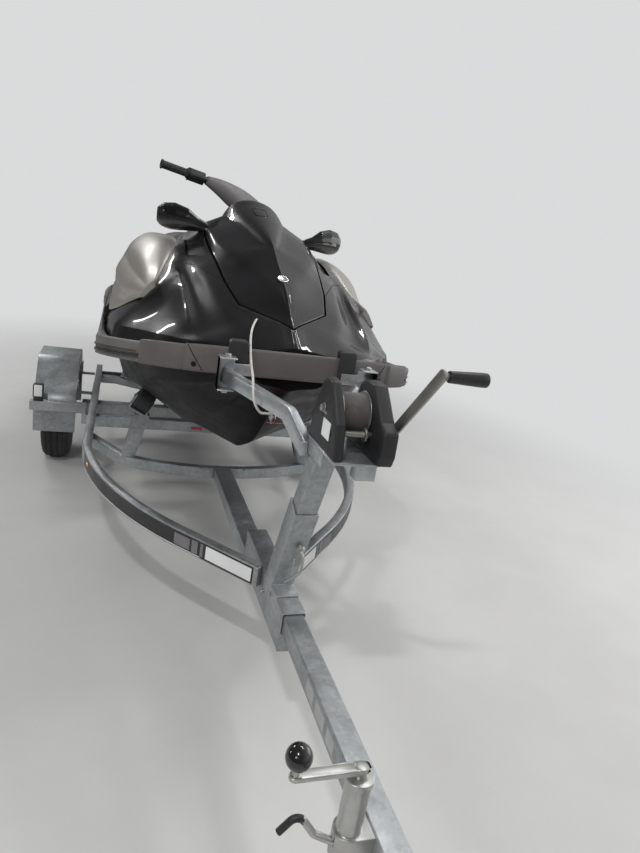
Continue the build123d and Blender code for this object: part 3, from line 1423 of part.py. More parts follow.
with BuildPart() as support_rollers:
    for y, foot_x, foot_z in side_support_rows:
        slope, centre = side_roller(y)
        for side in (-1, 1):
            with BuildSketch(Plane(origin=(side * centre[0], y, centre[1]), z_dir=(slope.X, 0, side * slope.Y))):
                Circle(roller_radius)
                Circle(8 + seat_gap / 3, mode=Mode.SUBTRACT)
            extrude(amount=roller_length / 2, both=True)
    for y, foot_z in keel_support_rows:
        keel = interpolated(hull_rows, y)[1]
        for start, end, inner_radius, outer_radius in [(-54, 0, keel_roller_radius + 8, keel_roller_radius - 8),
                                                       (0, 54, keel_roller_radius - 8, keel_roller_radius + 8)]:
            with BuildSketch(Plane.YZ.offset(start)):
                with Locations((y, keel - keel_roller_radius - seat_gap)):
                    Circle(inner_radius)
            with BuildSketch(Plane.YZ.offset(end)):
                with Locations((y, keel - keel_roller_radius - seat_gap)):
                    Circle(outer_radius)
            loft()
        with BuildSketch(Plane.YZ.offset(-55)):
            with Locations((y, keel - keel_roller_radius - seat_gap)):
                Circle(8 + seat_gap / 3)
        extrude(amount=110, mode=Mode.SUBTRACT)
    add(grown(hull.part), mode=Mode.SUBTRACT)
finish(support_rollers.part, "support_rollers")

with BuildPart() as rear_lamps:
    for side in (-1, 1):
        with BuildSketch(Plane.XZ.offset(-(rear_cross_y + 50))):
            with Locations((side * 520, member_low - 26)):
                RectangleRounded(180, 76, 10)
        extrude(amount=-42)
    add(front_lamps.part)
finish(rear_lamps.part, "lamps")
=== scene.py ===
import bmesh
import bpy
from math import cos, sin, pi, radians
from mathutils import Matrix, Vector


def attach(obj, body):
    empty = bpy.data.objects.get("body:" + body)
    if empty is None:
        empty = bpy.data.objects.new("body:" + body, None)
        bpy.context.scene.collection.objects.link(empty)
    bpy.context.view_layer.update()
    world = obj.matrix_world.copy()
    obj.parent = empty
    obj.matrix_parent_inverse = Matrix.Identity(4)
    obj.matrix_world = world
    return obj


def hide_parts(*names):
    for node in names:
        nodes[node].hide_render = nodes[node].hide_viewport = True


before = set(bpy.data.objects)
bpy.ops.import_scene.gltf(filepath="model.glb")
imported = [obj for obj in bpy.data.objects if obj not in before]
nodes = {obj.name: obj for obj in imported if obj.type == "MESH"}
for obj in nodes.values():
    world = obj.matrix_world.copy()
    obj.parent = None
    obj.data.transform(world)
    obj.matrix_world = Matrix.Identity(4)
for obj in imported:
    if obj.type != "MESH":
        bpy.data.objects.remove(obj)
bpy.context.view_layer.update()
print("frame loaded,", len(nodes), "nodes")

# Camera at the photograph's place, portrait frame 640 x 853

cameraSet = {
    "place": (-0.5346, -2.6249, 1.4487),
    "right": (0.94270, -0.29461, 0.15663),
    "forward": (0.32800, 0.90431, -0.27321),
    "lens": 25.96,
}
cameraData = bpy.data.cameras.new("camera")
cameraData.sensor_fit = "VERTICAL"
cameraData.sensor_width = 36
cameraData.sensor_height = 36
cameraData.lens = cameraSet["lens"]
cameraData.clip_start = 0.01
cameraData.clip_end = 200
camera = bpy.data.objects.new("camera", cameraData)
bpy.context.scene.collection.objects.link(camera)
away = -Vector(cameraSet["forward"]).normalized()
right = Vector(cameraSet["right"])
right = (right - away * right.dot(away)).normalized()
upward = away.cross(right)
turned = Matrix((right, upward, away)).transposed().to_4x4()
camera.matrix_world = Matrix.Translation(cameraSet["place"]) @ turned
bpy.context.scene.camera = camera


# Small helpers for the hand work

def clearSelection():
    if bpy.context.object and bpy.context.object.mode != "OBJECT":
        bpy.ops.object.mode_set(mode="OBJECT")
    bpy.ops.object.select_all(action="DESELECT")


def pick(piece):
    clearSelection()
    piece.select_set(True)
    bpy.context.view_layer.objects.active = piece


def primitive(kind, **values):
    # a new mesh object of a kind such as cube, alone in the selection
    clearSelection()
    getattr(bpy.ops.mesh, "primitive_" + kind + "_add")(**values)
    return bpy.context.object


def settle(piece):
    # put the object's place into its mesh
    pick(piece)
    bpy.ops.object.transform_apply(location=True, rotation=True, scale=True)


def addModifier(piece, kind, **values):
    modifier = piece.modifiers.new(kind.title(), kind)
    for key, value in values.items():
        setattr(modifier, key, value)
    pick(piece)
    bpy.ops.object.modifier_apply(modifier=modifier.name)


def smooth(piece, angle=35):
    pick(piece)
    bpy.ops.object.shade_smooth_by_angle(angle=radians(angle))


def editAll(piece):
    pick(piece)
    bpy.ops.object.mode_set(mode="EDIT")
    bpy.ops.mesh.select_mode(type="VERT")
    bpy.ops.mesh.select_all(action="SELECT")


def leaveEdit():
    bpy.ops.object.mode_set(mode="OBJECT")


def faceOutwards(piece, weld=0.00002):
    editAll(piece)
    bpy.ops.mesh.remove_doubles(threshold=weld)
    bpy.ops.mesh.normals_make_consistent(inside=False)
    leaveEdit()


def joinPieces(pieces, name):
    clearSelection()
    for piece in pieces:
        piece.select_set(True)
    bpy.context.view_layer.objects.active = pieces[0]
    if len(pieces) > 1:
        bpy.ops.object.join()
    whole = bpy.context.view_layer.objects.active
    whole.name = name
    whole.data.name = name
    return whole


def dress(piece, name, body, finish, stands=()):
    # name, finish and body of a finished piece
    piece.name = name
    piece.data.name = name
    piece.data.materials.clear()
    piece.data.materials.append(finishes[finish])
    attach(piece, body)
    if stands:
        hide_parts(*stands)
    return piece


def duplicate(piece):
    # a copy with a mesh of its own
    twin = piece.copy()
    twin.data = piece.data.copy()
    bpy.context.scene.collection.objects.link(twin)
    return twin


def mirroredCopy(piece, name):
    # the same piece on the other side of the craft
    twin = duplicate(piece)
    twin.name = name
    twin.data.transform(Matrix.Scale(-1, 4, (1, 0, 0)))
    twin.data.flip_normals()
    return twin


def bevel(piece, width, segments, angle, **more):
    addModifier(piece, "BEVEL", width=width, segments=segments, limit_method="ANGLE",
                angle_limit=radians(angle), **more)


def cutBy(piece, cutter, operation="DIFFERENCE"):
    # the cutter is used up
    addModifier(piece, "BOOLEAN", operation=operation, object=cutter, solver="EXACT")
    bpy.data.objects.remove(cutter)


# Finishes: every one is a node material on object coordinates

def linked(tree, kind, **inputs):
    node = tree.nodes.new(kind)
    for key, value in inputs.items():
        node.inputs[key].default_value = value
    return node


def ramp(tree, source, stops):
    node = tree.nodes.new("ShaderNodeValToRGB")
    tree.links.new(source, node.inputs["Fac"])
    while len(node.color_ramp.elements) < len(stops):
        node.color_ramp.elements.new(0.5)
    for element, (place, colour) in zip(node.color_ramp.elements, stops):
        element.position = place
        element.color = colour if len(colour) == 4 else (*colour, 1)
    return node.outputs["Color"]


def grey(value):
    return (value, value, value)


def noise(tree, where, scale, detail, roughness, **more):
    node = linked(tree, "ShaderNodeTexNoise", Scale=scale, Detail=detail, Roughness=roughness, **more)
    tree.links.new(where, node.inputs["Vector"])
    return node.outputs["Fac"]


def times(tree, first, second):
    node = tree.nodes.new("ShaderNodeMath")
    node.operation = "MULTIPLY"
    tree.links.new(first, node.inputs[0])
    tree.links.new(second, node.inputs[1])
    return node.outputs["Value"]


def layer(tree, colour, cover, top):
    # one colour laid over the others where the cover is pale
    blend = tree.nodes.new("ShaderNodeMix")
    blend.data_type = "RGBA"
    tree.links.new(cover, blend.inputs["Factor"])
    tree.links.new(colour, blend.inputs["A"])
    blend.inputs["B"].default_value = (*top, 1)
    return blend.outputs["Result"]


def mixShaders(tree, share, first, second):
    node = tree.nodes.new("ShaderNodeMixShader")
    for socket, source in zip(node.inputs, (share, first, second)):
        tree.links.new(source, socket)
    return node.outputs["Shader"]


# input of the shader, key in a look, value without the key
shaderInputs = [("Metallic", "metal", 0), ("Coat Weight", "coat", 0), ("Coat Roughness", "coatRough", 0.05),
                ("Specular IOR Level", "specular", 0.5), ("Sheen Weight", "sheen", 0)]


def makeFinish(name, look):
    finish = bpy.data.materials.new(name)
    finish.use_nodes = True
    tree = finish.node_tree
    shader = tree.nodes["Principled BSDF"]
    for socket, key, usual in shaderInputs:
        shader.inputs[socket].default_value = look.get(key, usual)
    place = tree.nodes.new("ShaderNodeTexCoord")
    mapping = linked(tree, "ShaderNodeMapping", Scale=look.get("stretch", (1, 1, 1)))
    tree.links.new(place.outputs["Object"], mapping.inputs["Vector"])
    where = mapping.outputs["Vector"]

    # broad colour change over the surface
    low, high = look["colours"]
    clouds = noise(tree, where, look.get("clouds", 6), 6, 0.6)
    colour = ramp(tree, clouds, [(0.32, low), (0.68, high)])
    if "cells" in look:
        # zinc crystals of a hot-dipped coat
        cells = linked(tree, "ShaderNodeTexVoronoi", Scale=look["cells"])
        tree.links.new(where, cells.inputs["Vector"])
        shades = ramp(tree, cells.outputs["Color"], [(0.0, grey(0.72)), (1.0, grey(1.22))])
        blend = tree.nodes.new("ShaderNodeMix")
        blend.data_type = "RGBA"
        blend.blend_type = "MULTIPLY"
        blend.inputs["Factor"].default_value = look["cellShare"]
        tree.links.new(colour, blend.inputs["A"])
        tree.links.new(shades, blend.inputs["B"])
        colour = blend.outputs["Result"]
    if "film" in look:
        # thin grey film, partly dust and partly a painted reflection of a pale ceiling, thickest on what
        # looks up
        scale, thin, thick, dustAndSheenColour = look["film"]
        height = tree.nodes.new("ShaderNodeSeparateXYZ")
        tree.links.new(place.outputs["Normal"], height.inputs["Vector"])
        upwardDustAndSheen = ramp(tree, height.outputs["Z"], [(0.25, grey(0.25)), (0.95, grey(1))])
        spread = ramp(tree, noise(tree, where, scale, 7, 0.72), [(0.3, grey(thin)), (0.75, grey(thick))])
        colour = layer(tree, colour, times(tree, upwardDustAndSheen, spread), dustAndSheenColour)
    if "dust" in look:
        # fine pale specks
        scale, bare, dustColour = look["dust"]
        cover = ramp(tree, noise(tree, where, scale, 3, 0.7), [(bare, grey(0)), (bare + 0.09, grey(1))])
        colour = layer(tree, colour, cover, dustColour)
    if "wear" in look:
        # scuffed patches
        scale, bare, wearColour = look["wear"]
        patches = noise(tree, where, scale, 8, 0.75, Distortion=0.6)
        cover = ramp(tree, patches, [(bare, grey(0)), (bare + 0.16, grey(1))])
        colour = layer(tree, colour, cover, wearColour)
    tree.links.new(colour, shader.inputs["Base Color"])

    # gloss varies with its own noise
    glossiest, dullest = look["rough"]
    rough = ramp(tree, noise(tree, where, 14, 5, 0.65), [(0.3, grey(glossiest)), (0.72, grey(dullest))])
    tree.links.new(rough, shader.inputs["Roughness"])

    # relief
    kind, scale, strength, depth = look["relief"]
    if kind == "noise":
        form = linked(tree, "ShaderNodeTexNoise", Scale=scale, Detail=4, Roughness=0.6)
        height = form.outputs["Fac"]
    elif kind == "grain":
        form = linked(tree, "ShaderNodeTexVoronoi", Scale=scale)
        form.feature = "DISTANCE_TO_EDGE"
        height = ramp(tree, form.outputs["Distance"], [(0.0, grey(0)), (0.25, grey(1))])
    elif kind == "weave":
        form = linked(tree, "ShaderNodeTexWave", Scale=scale, Distortion=0.4)
        form.wave_type = "BANDS"
        form.bands_direction = look["bands"]
        height = form.outputs["Color"]
    else:
        form = linked(tree, "ShaderNodeTexVoronoi", Scale=scale)
        height = form.outputs["Distance"]
    tree.links.new(where, form.inputs["Vector"])
    bump = linked(tree, "ShaderNodeBump", Strength=strength, Distance=depth)
    tree.links.new(height, bump.inputs["Height"])
    tree.links.new(bump.outputs["Normal"], shader.inputs["Normal"])
    return finish


def look(low, high, glossiest, dullest, relief, **more):
    # two colours, a number for a grey, two roughnesses, relief: kind, scale, strength, depth in metres
    low, high = (tone if isinstance(tone, tuple) else grey(tone) for tone in (low, high))
    return {"colours": [low, high], "rough": (glossiest, dullest), "relief": relief, **more}


looks = {
    # the gelcoat's grey film is partly dust, partly a painted reflection of the pale ceiling on up-facing
    # faces
    "gelcoatBlack": look(0.0035, (0.006, 0.0062, 0.0072), 0.3, 0.42, ("noise", 3, 0.02, 0.001), coat=0.6,
                         coatRough=0.04, specular=0.15, film=(9, 0.03, 0.35, (0.020, 0.020, 0.0215)),
                         dust=(900, 0.67, grey(0.055))),
    "hullBlack": look(0.003, 0.006, 0.25, 0.42, ("noise", 5, 0.05, 0.001), specular=0.08,
                      wear=(7, 0.68, (0.012, 0.010, 0.009))),
    "gapBlack": look(0.004, 0.008, 0.6, 0.8, ("noise", 200, 0.1, 0.0003), specular=0.2),
    "bumperGrey": look((0.082, 0.072, 0.071), (0.112, 0.100, 0.099), 0.5, 0.62,
                       ("noise", 700, 0.25, 0.0003)),
    "railGrey": look((0.100, 0.093, 0.091), (0.134, 0.126, 0.123), 0.45, 0.6, ("noise", 600, 0.2, 0.0003)),
    "insertDark": look(0.030, 0.045, 0.5, 0.65, ("noise", 500, 0.2, 0.0003)),
    "champagne": look((0.335, 0.315, 0.285), (0.385, 0.365, 0.33), 0.36, 0.46, ("noise", 900, 0.05, 0.0002),
                      metal=0.45, coat=0.15, coatRough=0.2),
    "sidePlastic": look(0.022, 0.034, 0.38, 0.5, ("noise", 500, 0.2, 0.0003)),
    "galvanised": look((0.28, 0.298, 0.306), (0.44, 0.460, 0.468), 0.34, 0.58, ("noise", 130, 0.18, 0.0006),
                       metal=0.72, clouds=7, cells=75, cellShare=0.55,
                       dust=(160, 0.66, (0.22, 0.22, 0.21))),
    "galvanisedBright": look((0.40, 0.424, 0.436), (0.55, 0.575, 0.585), 0.26, 0.44,
                             ("noise", 90, 0.12, 0.0005), metal=0.8, clouds=9, cells=90, cellShare=0.35),
    "zincPlate": look((0.44, 0.44, 0.415), (0.56, 0.56, 0.54), 0.28, 0.44, ("noise", 200, 0.06, 0.0003),
                      metal=0.9, clouds=20),
    "steelArm": look((0.30, 0.295, 0.27), (0.42, 0.41, 0.38), 0.3, 0.46, ("noise", 160, 0.1, 0.0004),
                     metal=0.9, clouds=14),
    "stainless": look(0.52, 0.66, 0.16, 0.3, ("noise", 120, 0.08, 0.0003), metal=1.0, stretch=(1, 8, 1)),
    "winchPlastic": look((0.013, 0.0135, 0.0145), (0.020, 0.0205, 0.022), 0.42, 0.56,
                         ("grain", 900, 0.25, 0.0003)),
    "plasticBlack": look(0.014, 0.024, 0.36, 0.5, ("grain", 700, 0.2, 0.0003)),
    "knobGloss": look(0.010, 0.016, 0.1, 0.2, ("noise", 30, 0.05, 0.0004), coat=0.4),
    "padGrey": look((0.105, 0.098, 0.097), (0.135, 0.127, 0.125), 0.5, 0.62, ("noise", 600, 0.25, 0.0003)),
    "gripRubber": look(0.012, 0.022, 0.55, 0.7, ("grain", 420, 0.5, 0.0006)),
    "tyreRubber": look(0.013, 0.026, 0.72, 0.88, ("noise", 240, 0.35, 0.0008),
                       dust=(60, 0.62, (0.07, 0.065, 0.06))),
    "rollerRubber": look(0.014, 0.03, 0.5, 0.7, ("noise", 180, 0.3, 0.0006), wear=(30, 0.6, grey(0.06))),
    "seatVinyl": look(0.014, 0.026, 0.42, 0.56, ("grain", 380, 0.45, 0.0007), sheen=0.15),
    "seatSide": look(0.085, 0.115, 0.46, 0.58, ("grain", 420, 0.4, 0.0006), sheen=0.15),
    "matRubber": look(0.028, 0.05, 0.7, 0.85, ("weave", 34, 0.8, 0.002), bands="Y"),
    "strapRed": look((0.42, 0.014, 0.022), (0.58, 0.03, 0.04), 0.6, 0.75, ("weave", 260, 0.7, 0.0008),
                     sheen=0.3, bands="Y"),
    "strapWound": look((0.050, 0.042, 0.038), (0.095, 0.082, 0.075), 0.6, 0.8, ("weave", 240, 0.8, 0.0008),
                       sheen=0.3, clouds=60, bands="X"),
    "cordWhite": look((0.66, 0.64, 0.60), (0.76, 0.745, 0.71), 0.65, 0.8, ("weave", 420, 0.8, 0.0007),
                      sheen=0.2, clouds=60, bands="DIAGONAL"),
    "lensWhite": look((0.72, 0.73, 0.73), (0.82, 0.83, 0.83), 0.1, 0.2, ("weave", 200, 0.3, 0.0006),
                      coat=0.5, bands="X"),
    "lensRed": look((0.35, 0.008, 0.01), (0.5, 0.014, 0.016), 0.12, 0.22, ("cells", 260, 0.4, 0.0008),
                    coat=0.5),
    "lensAmber": look((0.55, 0.19, 0.01), (0.70, 0.26, 0.015), 0.12, 0.22, ("cells", 260, 0.4, 0.0008),
                      coat=0.5),
    "stickerWhite": look((0.66, 0.665, 0.66), (0.76, 0.765, 0.76), 0.35, 0.5, ("noise", 90, 0.05, 0.0003),
                         wear=(40, 0.68, (0.42, 0.41, 0.40))),
    "labelGrey": look((0.34, 0.345, 0.34), (0.42, 0.425, 0.42), 0.4, 0.55, ("noise", 90, 0.05, 0.0003),
                      wear=(60, 0.62, (0.28, 0.28, 0.275))),
    "stickerBlack": look(0.012, 0.02, 0.3, 0.45, ("noise", 90, 0.05, 0.0003)),
    "stickerGrey": look((0.13, 0.125, 0.13), (0.19, 0.18, 0.19), 0.35, 0.5, ("noise", 90, 0.05, 0.0003)),
    "mirrorGlass": look(0.72, 0.78, 0.01, 0.03, ("noise", 2, 0.01, 0.0005), metal=1.0),
    "badgeSilver": look(0.62, 0.74, 0.15, 0.28, ("noise", 300, 0.1, 0.0003), metal=0.9),
    "floorPale": look((0.58, 0.575, 0.565), (0.63, 0.625, 0.615), 0.55, 0.7, ("noise", 40, 0.05, 0.0005),
                      clouds=1.4, specular=0.3),
}
finishes = {name: makeFinish(name, look) for name, look in looks.items()}
print("finishes made,", len(finishes))


# Carried-over pieces: a merged copy of the CAD node with rounded edges

def roundedCopy(node, width):
    piece = bpy.data.objects.new(node + "_made", nodes[node].data.copy())
    bpy.context.scene.collection.objects.link(piece)
    editAll(piece)
    bpy.ops.mesh.remove_doubles(threshold=0.00003)
    bpy.ops.mesh.dissolve_limited(angle_limit=radians(0.6))
    leaveEdit()
    if width:
        bevel(piece, width, 2, 38, use_clamp_overlap=False, miter_outer="MITER_ARC")
    smooth(piece, 40)
    return piece


# the body of all that doesn't move
fixed = "craft_and_trailer"
# node: body, edge radius in metres, finish
carried = {
    "bumper_rail": (fixed, 0.009, "railGrey"),
    "bow_bumper": (fixed, 0.009, "bumperGrey"),
    "bumper_corners": (fixed, 0.006, "bumperGrey"),
    "instrument_pod": (fixed, 0.008, "plasticBlack"),
    "steering_shaft": (fixed, 0.001, "plasticBlack"),
    "footwell_mats": (fixed, 0.0012, "matRubber"),
    "rear_handle": (fixed, 0, "plasticBlack"),
    "sponsons": (fixed, 0.006, "sidePlastic"),
    "ride_plate": (fixed, 0.0015, "stainless"),
    "jet_pump": (fixed, 0.0012, "stainless"),
    "tow_eyes": (fixed, 0, "stainless"),
    "drawbar": (fixed, 0.0012, "galvanised"),
    "main_beam": (fixed, 0.002, "galvanised"),
    "side_members": (fixed, 0.004, "galvanised"),
    "cross_members": (fixed, 0.003, "galvanised"),
    "axle": (fixed, 0.003, "galvanised"),
    "lamps": (fixed, 0.003, "plasticBlack"),
    "post_sleeve": (fixed, 0.002, "galvanised"),
    "winch_post": (fixed, 0.0012, "galvanised"),
    "winch_base": (fixed, 0.0015, "galvanisedBright"),
    "winch_covers": (fixed, 0.005, "winchPlastic"),
    "bow_support": (fixed, 0.0025, "galvanisedBright"),
    "bow_pads": (fixed, 0.004, "rollerRubber"),
    "coupling": (fixed, 0.004, "zincPlate"),
    "jockey_post": (fixed, 0.0015, "zincPlate"),
    "jockey_crank": (fixed, 0.0015, "zincPlate"),
    "roller_brackets": (fixed, 0.0015, "galvanised"),
    "support_rollers": (fixed, 0.004, "rollerRubber"),
    "hood_latch": ("hood", 0.003, "knobGloss"),
    "mirrors": ("hood", 0, "gelcoatBlack"),
    "handlebar": ("steering", 0.001, "plasticBlack"),
    "handle_grips": ("steering", 0.003, "gripRubber"),
    "steering_nozzle": ("jet_nozzle", 0.0012, "stainless"),
    "reverse_bucket": ("reverse_bucket", 0.002, "stainless"),
    "impeller": ("impeller", 0.001, "stainless"),
    "wheel_left": ("wheel_left", 0.0015, "galvanisedBright"),
    "wheel_right": ("wheel_right", 0.0015, "galvanisedBright"),
    "tyre_left": ("wheel_left", 0.004, "tyreRubber"),
    "tyre_right": ("wheel_right", 0.004, "tyreRubber"),
    "jockey_leg": ("jockey_leg", 0.0008, "zincPlate"),
    "jockey_fork": ("jockey_fork", 0.001, "galvanisedBright"),
    "jockey_wheel": ("jockey_wheel", 0.003, "tyreRubber"),
    "winch_crank": ("winch_crank", 0.001, "steelArm"),
    "crank_handle": ("winch_crank", 0.002, "plasticBlack"),
    "winch_drum": ("winch_drum", 0.0008, "zincPlate"),
    "fenders": (fixed, 0.0008, "galvanised"),
}
made = {}


def carryOver(node, edge, body, finish):
    made[node] = dress(roundedCopy(node, edge), node + "_made", body, finish, [node])


for node, (body, edge, finish) in carried.items():
    carryOver(node, edge, body, finish)
    nodes[node].data.materials.clear()
    nodes[node].data.materials.append(finishes[finish])
# the mitres of the rail's rear corners stay within the rail's own reach
railRear = 2.375
for vertex in made["bumper_rail"].data.vertices:
    vertex.co.y = min(vertex.co.y, railRear)
print("carried pieces rounded,", len(made))


# Tyre treads: grooves round the tread, each with its offset from the middle and its radius
treadSet = {"middle": (0.808, 1.24, 0.289), "groove": 0.0042,
            "rings": [(-0.046, 0.2875), (-0.016, 0.2885), (0.016, 0.2885), (0.046, 0.2875)]}
across, along, above = treadSet["middle"]
for wheel, side in (("tyre_left", 1), ("tyre_right", -1)):
    for offset, reach in treadSet["rings"]:
        ring = primitive("torus", major_radius=reach, minor_radius=treadSet["groove"], major_segments=96,
                         minor_segments=10, rotation=(0, pi / 2, 0),
                         location=(side * across + offset, along, above))
        settle(ring)
        cutBy(made[wheel], ring)
    smooth(made[wheel], 40)
print("tyre grooves cut")

# Craft body: stations in millimetres, from the bow to the stern

bowY = -880
sternY = 2375
partingLine = [(bowY - 40, 1108), (bowY + 110, 1078), (bowY + 550, 1012), (bowY + 1400, 968),
               (sternY + 40, 930)]


def partingHeight(y):
    for (y0, z0), (y1, z1) in zip(partingLine, partingLine[1:]):
        if y0 <= y <= y1:
            return z0 + (z1 - z0) * (y - y0) / (y1 - y0)
    return partingLine[-1][1]


def through(rows):
    # move the control points so that the smoothed lines run through the given ones
    wanted = [[Vector(p) for p in row] for row in rows]
    held = [[p.copy() for p in row] for row in wanted]
    for step in range(8):
        for i in range(1, len(rows) - 1):
            for k in range(len(rows[0])):
                now = (held[i - 1][k] + held[i][k] * 4 + held[i + 1][k]) / 6
                held[i][k] += wanted[i][k] - now
    return held


def loftSections(name, sections, creases, levels=2, lastStations=()):
    # one closed loop per station, extruded from the first; creases holds point number: weight,
    # lastStations the station where a crease of a point number runs out
    piece = primitive("circle", vertices=len(sections[0]), radius=1, fill_type="NGON")
    bpy.ops.object.mode_set(mode="EDIT")
    bpy.ops.mesh.select_mode(type="VERT")
    bpy.ops.mesh.select_all(action="SELECT")
    grid = []
    for number, section in enumerate(sections):
        if number:
            bpy.ops.mesh.extrude_region_move(TRANSFORM_OT_translate={"value": (0, 0, 0)})
        mesh = bmesh.from_edit_mesh(piece.data)
        mesh.verts.ensure_lookup_table()
        if number:
            fresh = [v for v in mesh.verts if v.select]
            ordered = [min(fresh, key=lambda v, p=Vector(p): (v.co - p).length) for p in sections[number - 1]]
        else:
            ordered = list(mesh.verts)
        grid.append([v.index for v in ordered])
        for vertex, point in zip(ordered, section):
            vertex.co = point
        bmesh.update_edit_mesh(piece.data)
    leaveEdit()
    column = {index: k for row in grid for k, index in enumerate(row)}
    station = {index: i for i, row in enumerate(grid) for index in row}
    crease = piece.data.attributes.new("crease_edge", "FLOAT", "EDGE")
    runsOut = dict(lastStations)
    for edge in piece.data.edges:
        a, b = edge.vertices
        weight = 0
        if column[a] == column[b] and station[b] <= runsOut.get(column[a], len(grid)):
            weight = creases.get(column[a], 0)
        elif station[a] == station[b] and station[a] in (0, len(grid) - 1):
            weight = 1
        crease.data[edge.index].value = weight
    if levels:
        addModifier(piece, "SUBSURF", levels=levels, render_levels=levels, boundary_smooth="PRESERVE_CORNERS")
    faceOutwards(piece)
    piece.name = name
    return piece


def wholeLoop(y, half):
    # half section (x, z) from the bottom centre to the top centre, mirrored, in metres
    loop = [(x, z) for x, z in half] + [(-x, z) for x, z in reversed(half) if x > 0]
    return [Vector((x / 1000, y / 1000, z / 1000)) for x, z in loop]


def bothSides(creases, count):
    # creases of the whole loop, from those of the half with count points
    total = 2 * count - 2
    return {place: weight for n, weight in creases.items() for place in (n, (total - n) % total)}


def sharp(*numbers):
    return {n: 1 for n in numbers}


def extruded(name, corners, move):
    # block made by moving a filled loop of corners, all in millimetres
    block = primitive("circle", vertices=len(corners), radius=1, fill_type="NGON")
    for vertex, (x, y, z) in zip(block.data.vertices, corners):
        vertex.co = (x / 1000, y / 1000, z / 1000)
    editAll(block)
    bpy.ops.mesh.extrude_region_move(TRANSFORM_OT_translate={"value": tuple(step / 1000 for step in move)})
    leaveEdit()
    faceOutwards(block)
    block.name = name
    return block


def prism(name, outline, low, high):
    # upright block over an outline (x, y)
    return extruded(name, [(x, y, low) for x, y in outline], (0, 0, high - low))


def slopingBlock(name, corners, down, up):
    # block from below its corners (x, y, z) to above them
    return extruded(name, [(x, y, z - down) for x, y, z in corners], (0, 0, down + up))


def sideProfile(name, outline, low, high):
    # block with a profile (y, z) between two x
    return extruded(name, [(low, y, z) for y, z in outline], (high - low, 0, 0))


def rod(name, points, radius, closed=False, resolution=6, roundness=3):
    # round rod along points in metres, as a curve
    curve = bpy.data.curves.new(name, "CURVE")
    curve.dimensions = "3D"
    line = curve.splines.new("NURBS")
    line.points.add(len(points) - 1)
    for point, place in zip(line.points, points):
        point.co = (*place, 1)
    line.order_u = 3
    line.use_cyclic_u = closed
    line.use_endpoint_u = not closed
    curve.resolution_u = resolution
    curve.bevel_depth = radius
    curve.bevel_resolution = roundness
    curve.use_fill_caps = True
    piece = bpy.data.objects.new(name, curve)
    bpy.context.scene.collection.objects.link(piece)
    return piece


def wire(name, points, radius, closed=False):
    # the same along points in millimetres, as a mesh
    pick(rod(name, [(x / 1000, y / 1000, z / 1000) for x, y, z in points], radius / 1000, closed))
    bpy.ops.object.convert(target="MESH")
    piece = bpy.context.object
    smooth(piece, 50)
    return piece


def onSurface(piece, points, lift=0):
    # the nearest places on a piece, in millimetres, lifted along its normals
    found = []
    for x, y, z in points:
        hit, place, normal, face = piece.closest_point_on_mesh((x / 1000, y / 1000, z / 1000))
        found.append(tuple((place + normal * lift / 1000) * 1000))
    return found


def between(points, count):
    # points in equal steps along a line of corners
    corners = [Vector(p) for p in points]
    lengths = [(b - a).length for a, b in zip(corners, corners[1:])]
    total = sum(lengths)
    result = []
    for step in range(count):
        reach = total * step / (count - 1)
        for a, b, length in zip(corners, corners[1:], lengths):
            if reach <= length + 0.0001:
                result.append(tuple(a + (b - a) * (reach / length)))
                break
            reach -= length
    return result


# Hull: keel, strake, its step, chine, its lip, then the side up to the parting line
hullSet = {
    "rows": [
        (-818, 1010, (60, 1022), (105, 1036), (205, 1110)),
        (-730, 950, (92, 974), (170, 1002), (310, 1110)),
        (-640, 890, (120, 925), (232, 968), (400, 1110)),
        (-520, 786, (156, 850), (302, 930), (476, 1100)),
        (-400, 697, (185, 790), (352, 898), (528, 1090)),
        (-230, 622, (208, 722), (392, 848), (550, 1075)),
        (-50, 570, (220, 672), (416, 806), (560, 1060)),
        (270, 545, (232, 632), (444, 742), (566, 1050)),
        (620, 532, (240, 612), (458, 704), (567, 1040)),
        (1400, 532, (243, 609), (464, 696), (560, 1020)),
        (2200, 532, (245, 606), (470, 688), (548, 1000)),
    ],
    # half width, height of its axis, front and rear end
    "tunnel": (118, 650, 1650, 2250),
}
hullSections = []
for y, keel, strake, chine, side in hullSet["rows"]:
    lip = (chine[0] + 14, chine[1] + 6)
    top = partingHeight(y)
    share = (top - lip[1]) / (side[1] - lip[1])
    edge = (lip[0] + (side[0] - lip[0]) * share, top)
    bend = ((lip[0] + edge[0]) / 2 + 6, (lip[1] + edge[1]) / 2)
    half = [(0, keel), (strake[0] * 0.5, (keel + strake[1]) / 2 + 2), strake, (strake[0] + 18, strake[1] + 2),
            ((strake[0] + 18 + chine[0]) / 2, (strake[1] + chine[1]) / 2 - 3), chine, lip, bend, edge,
            (0, top)]
    hullSections.append(wholeLoop(y, half))
hullShape = loftSections("hullShape", through(hullSections), bothSides(sharp(0, 2, 3, 5, 6, 8, 9), 10))
tunnelHalf, tunnelZ, tunnelFrom, tunnelTo = hullSet["tunnel"]
tunnel = primitive("cylinder", vertices=64, radius=tunnelHalf / 1000, depth=(tunnelTo - tunnelFrom) / 1000,
                   location=(0, (tunnelFrom + tunnelTo) / 2000, tunnelZ / 1000), rotation=(pi / 2, 0, 0))
settle(tunnel)
cutBy(hullShape, tunnel)
tunnelOutline = [(-tunnelHalf, tunnelFrom), (tunnelHalf, tunnelFrom), (tunnelHalf, tunnelTo),
                 (-tunnelHalf, tunnelTo)]
cutBy(hullShape, prism("tunnelFloor", tunnelOutline, 400, tunnelZ))
intakeProfile = [(1690, 470), (1690, 700), (1620, 670), (1310, 538), (1310, 470)]
cutBy(hullShape, sideProfile("intake", intakeProfile, -88, 88))
smooth(hullShape, 30)
dress(hullShape, "hull_shell", fixed, "hullBlack", ["hull"])
print("hull made")

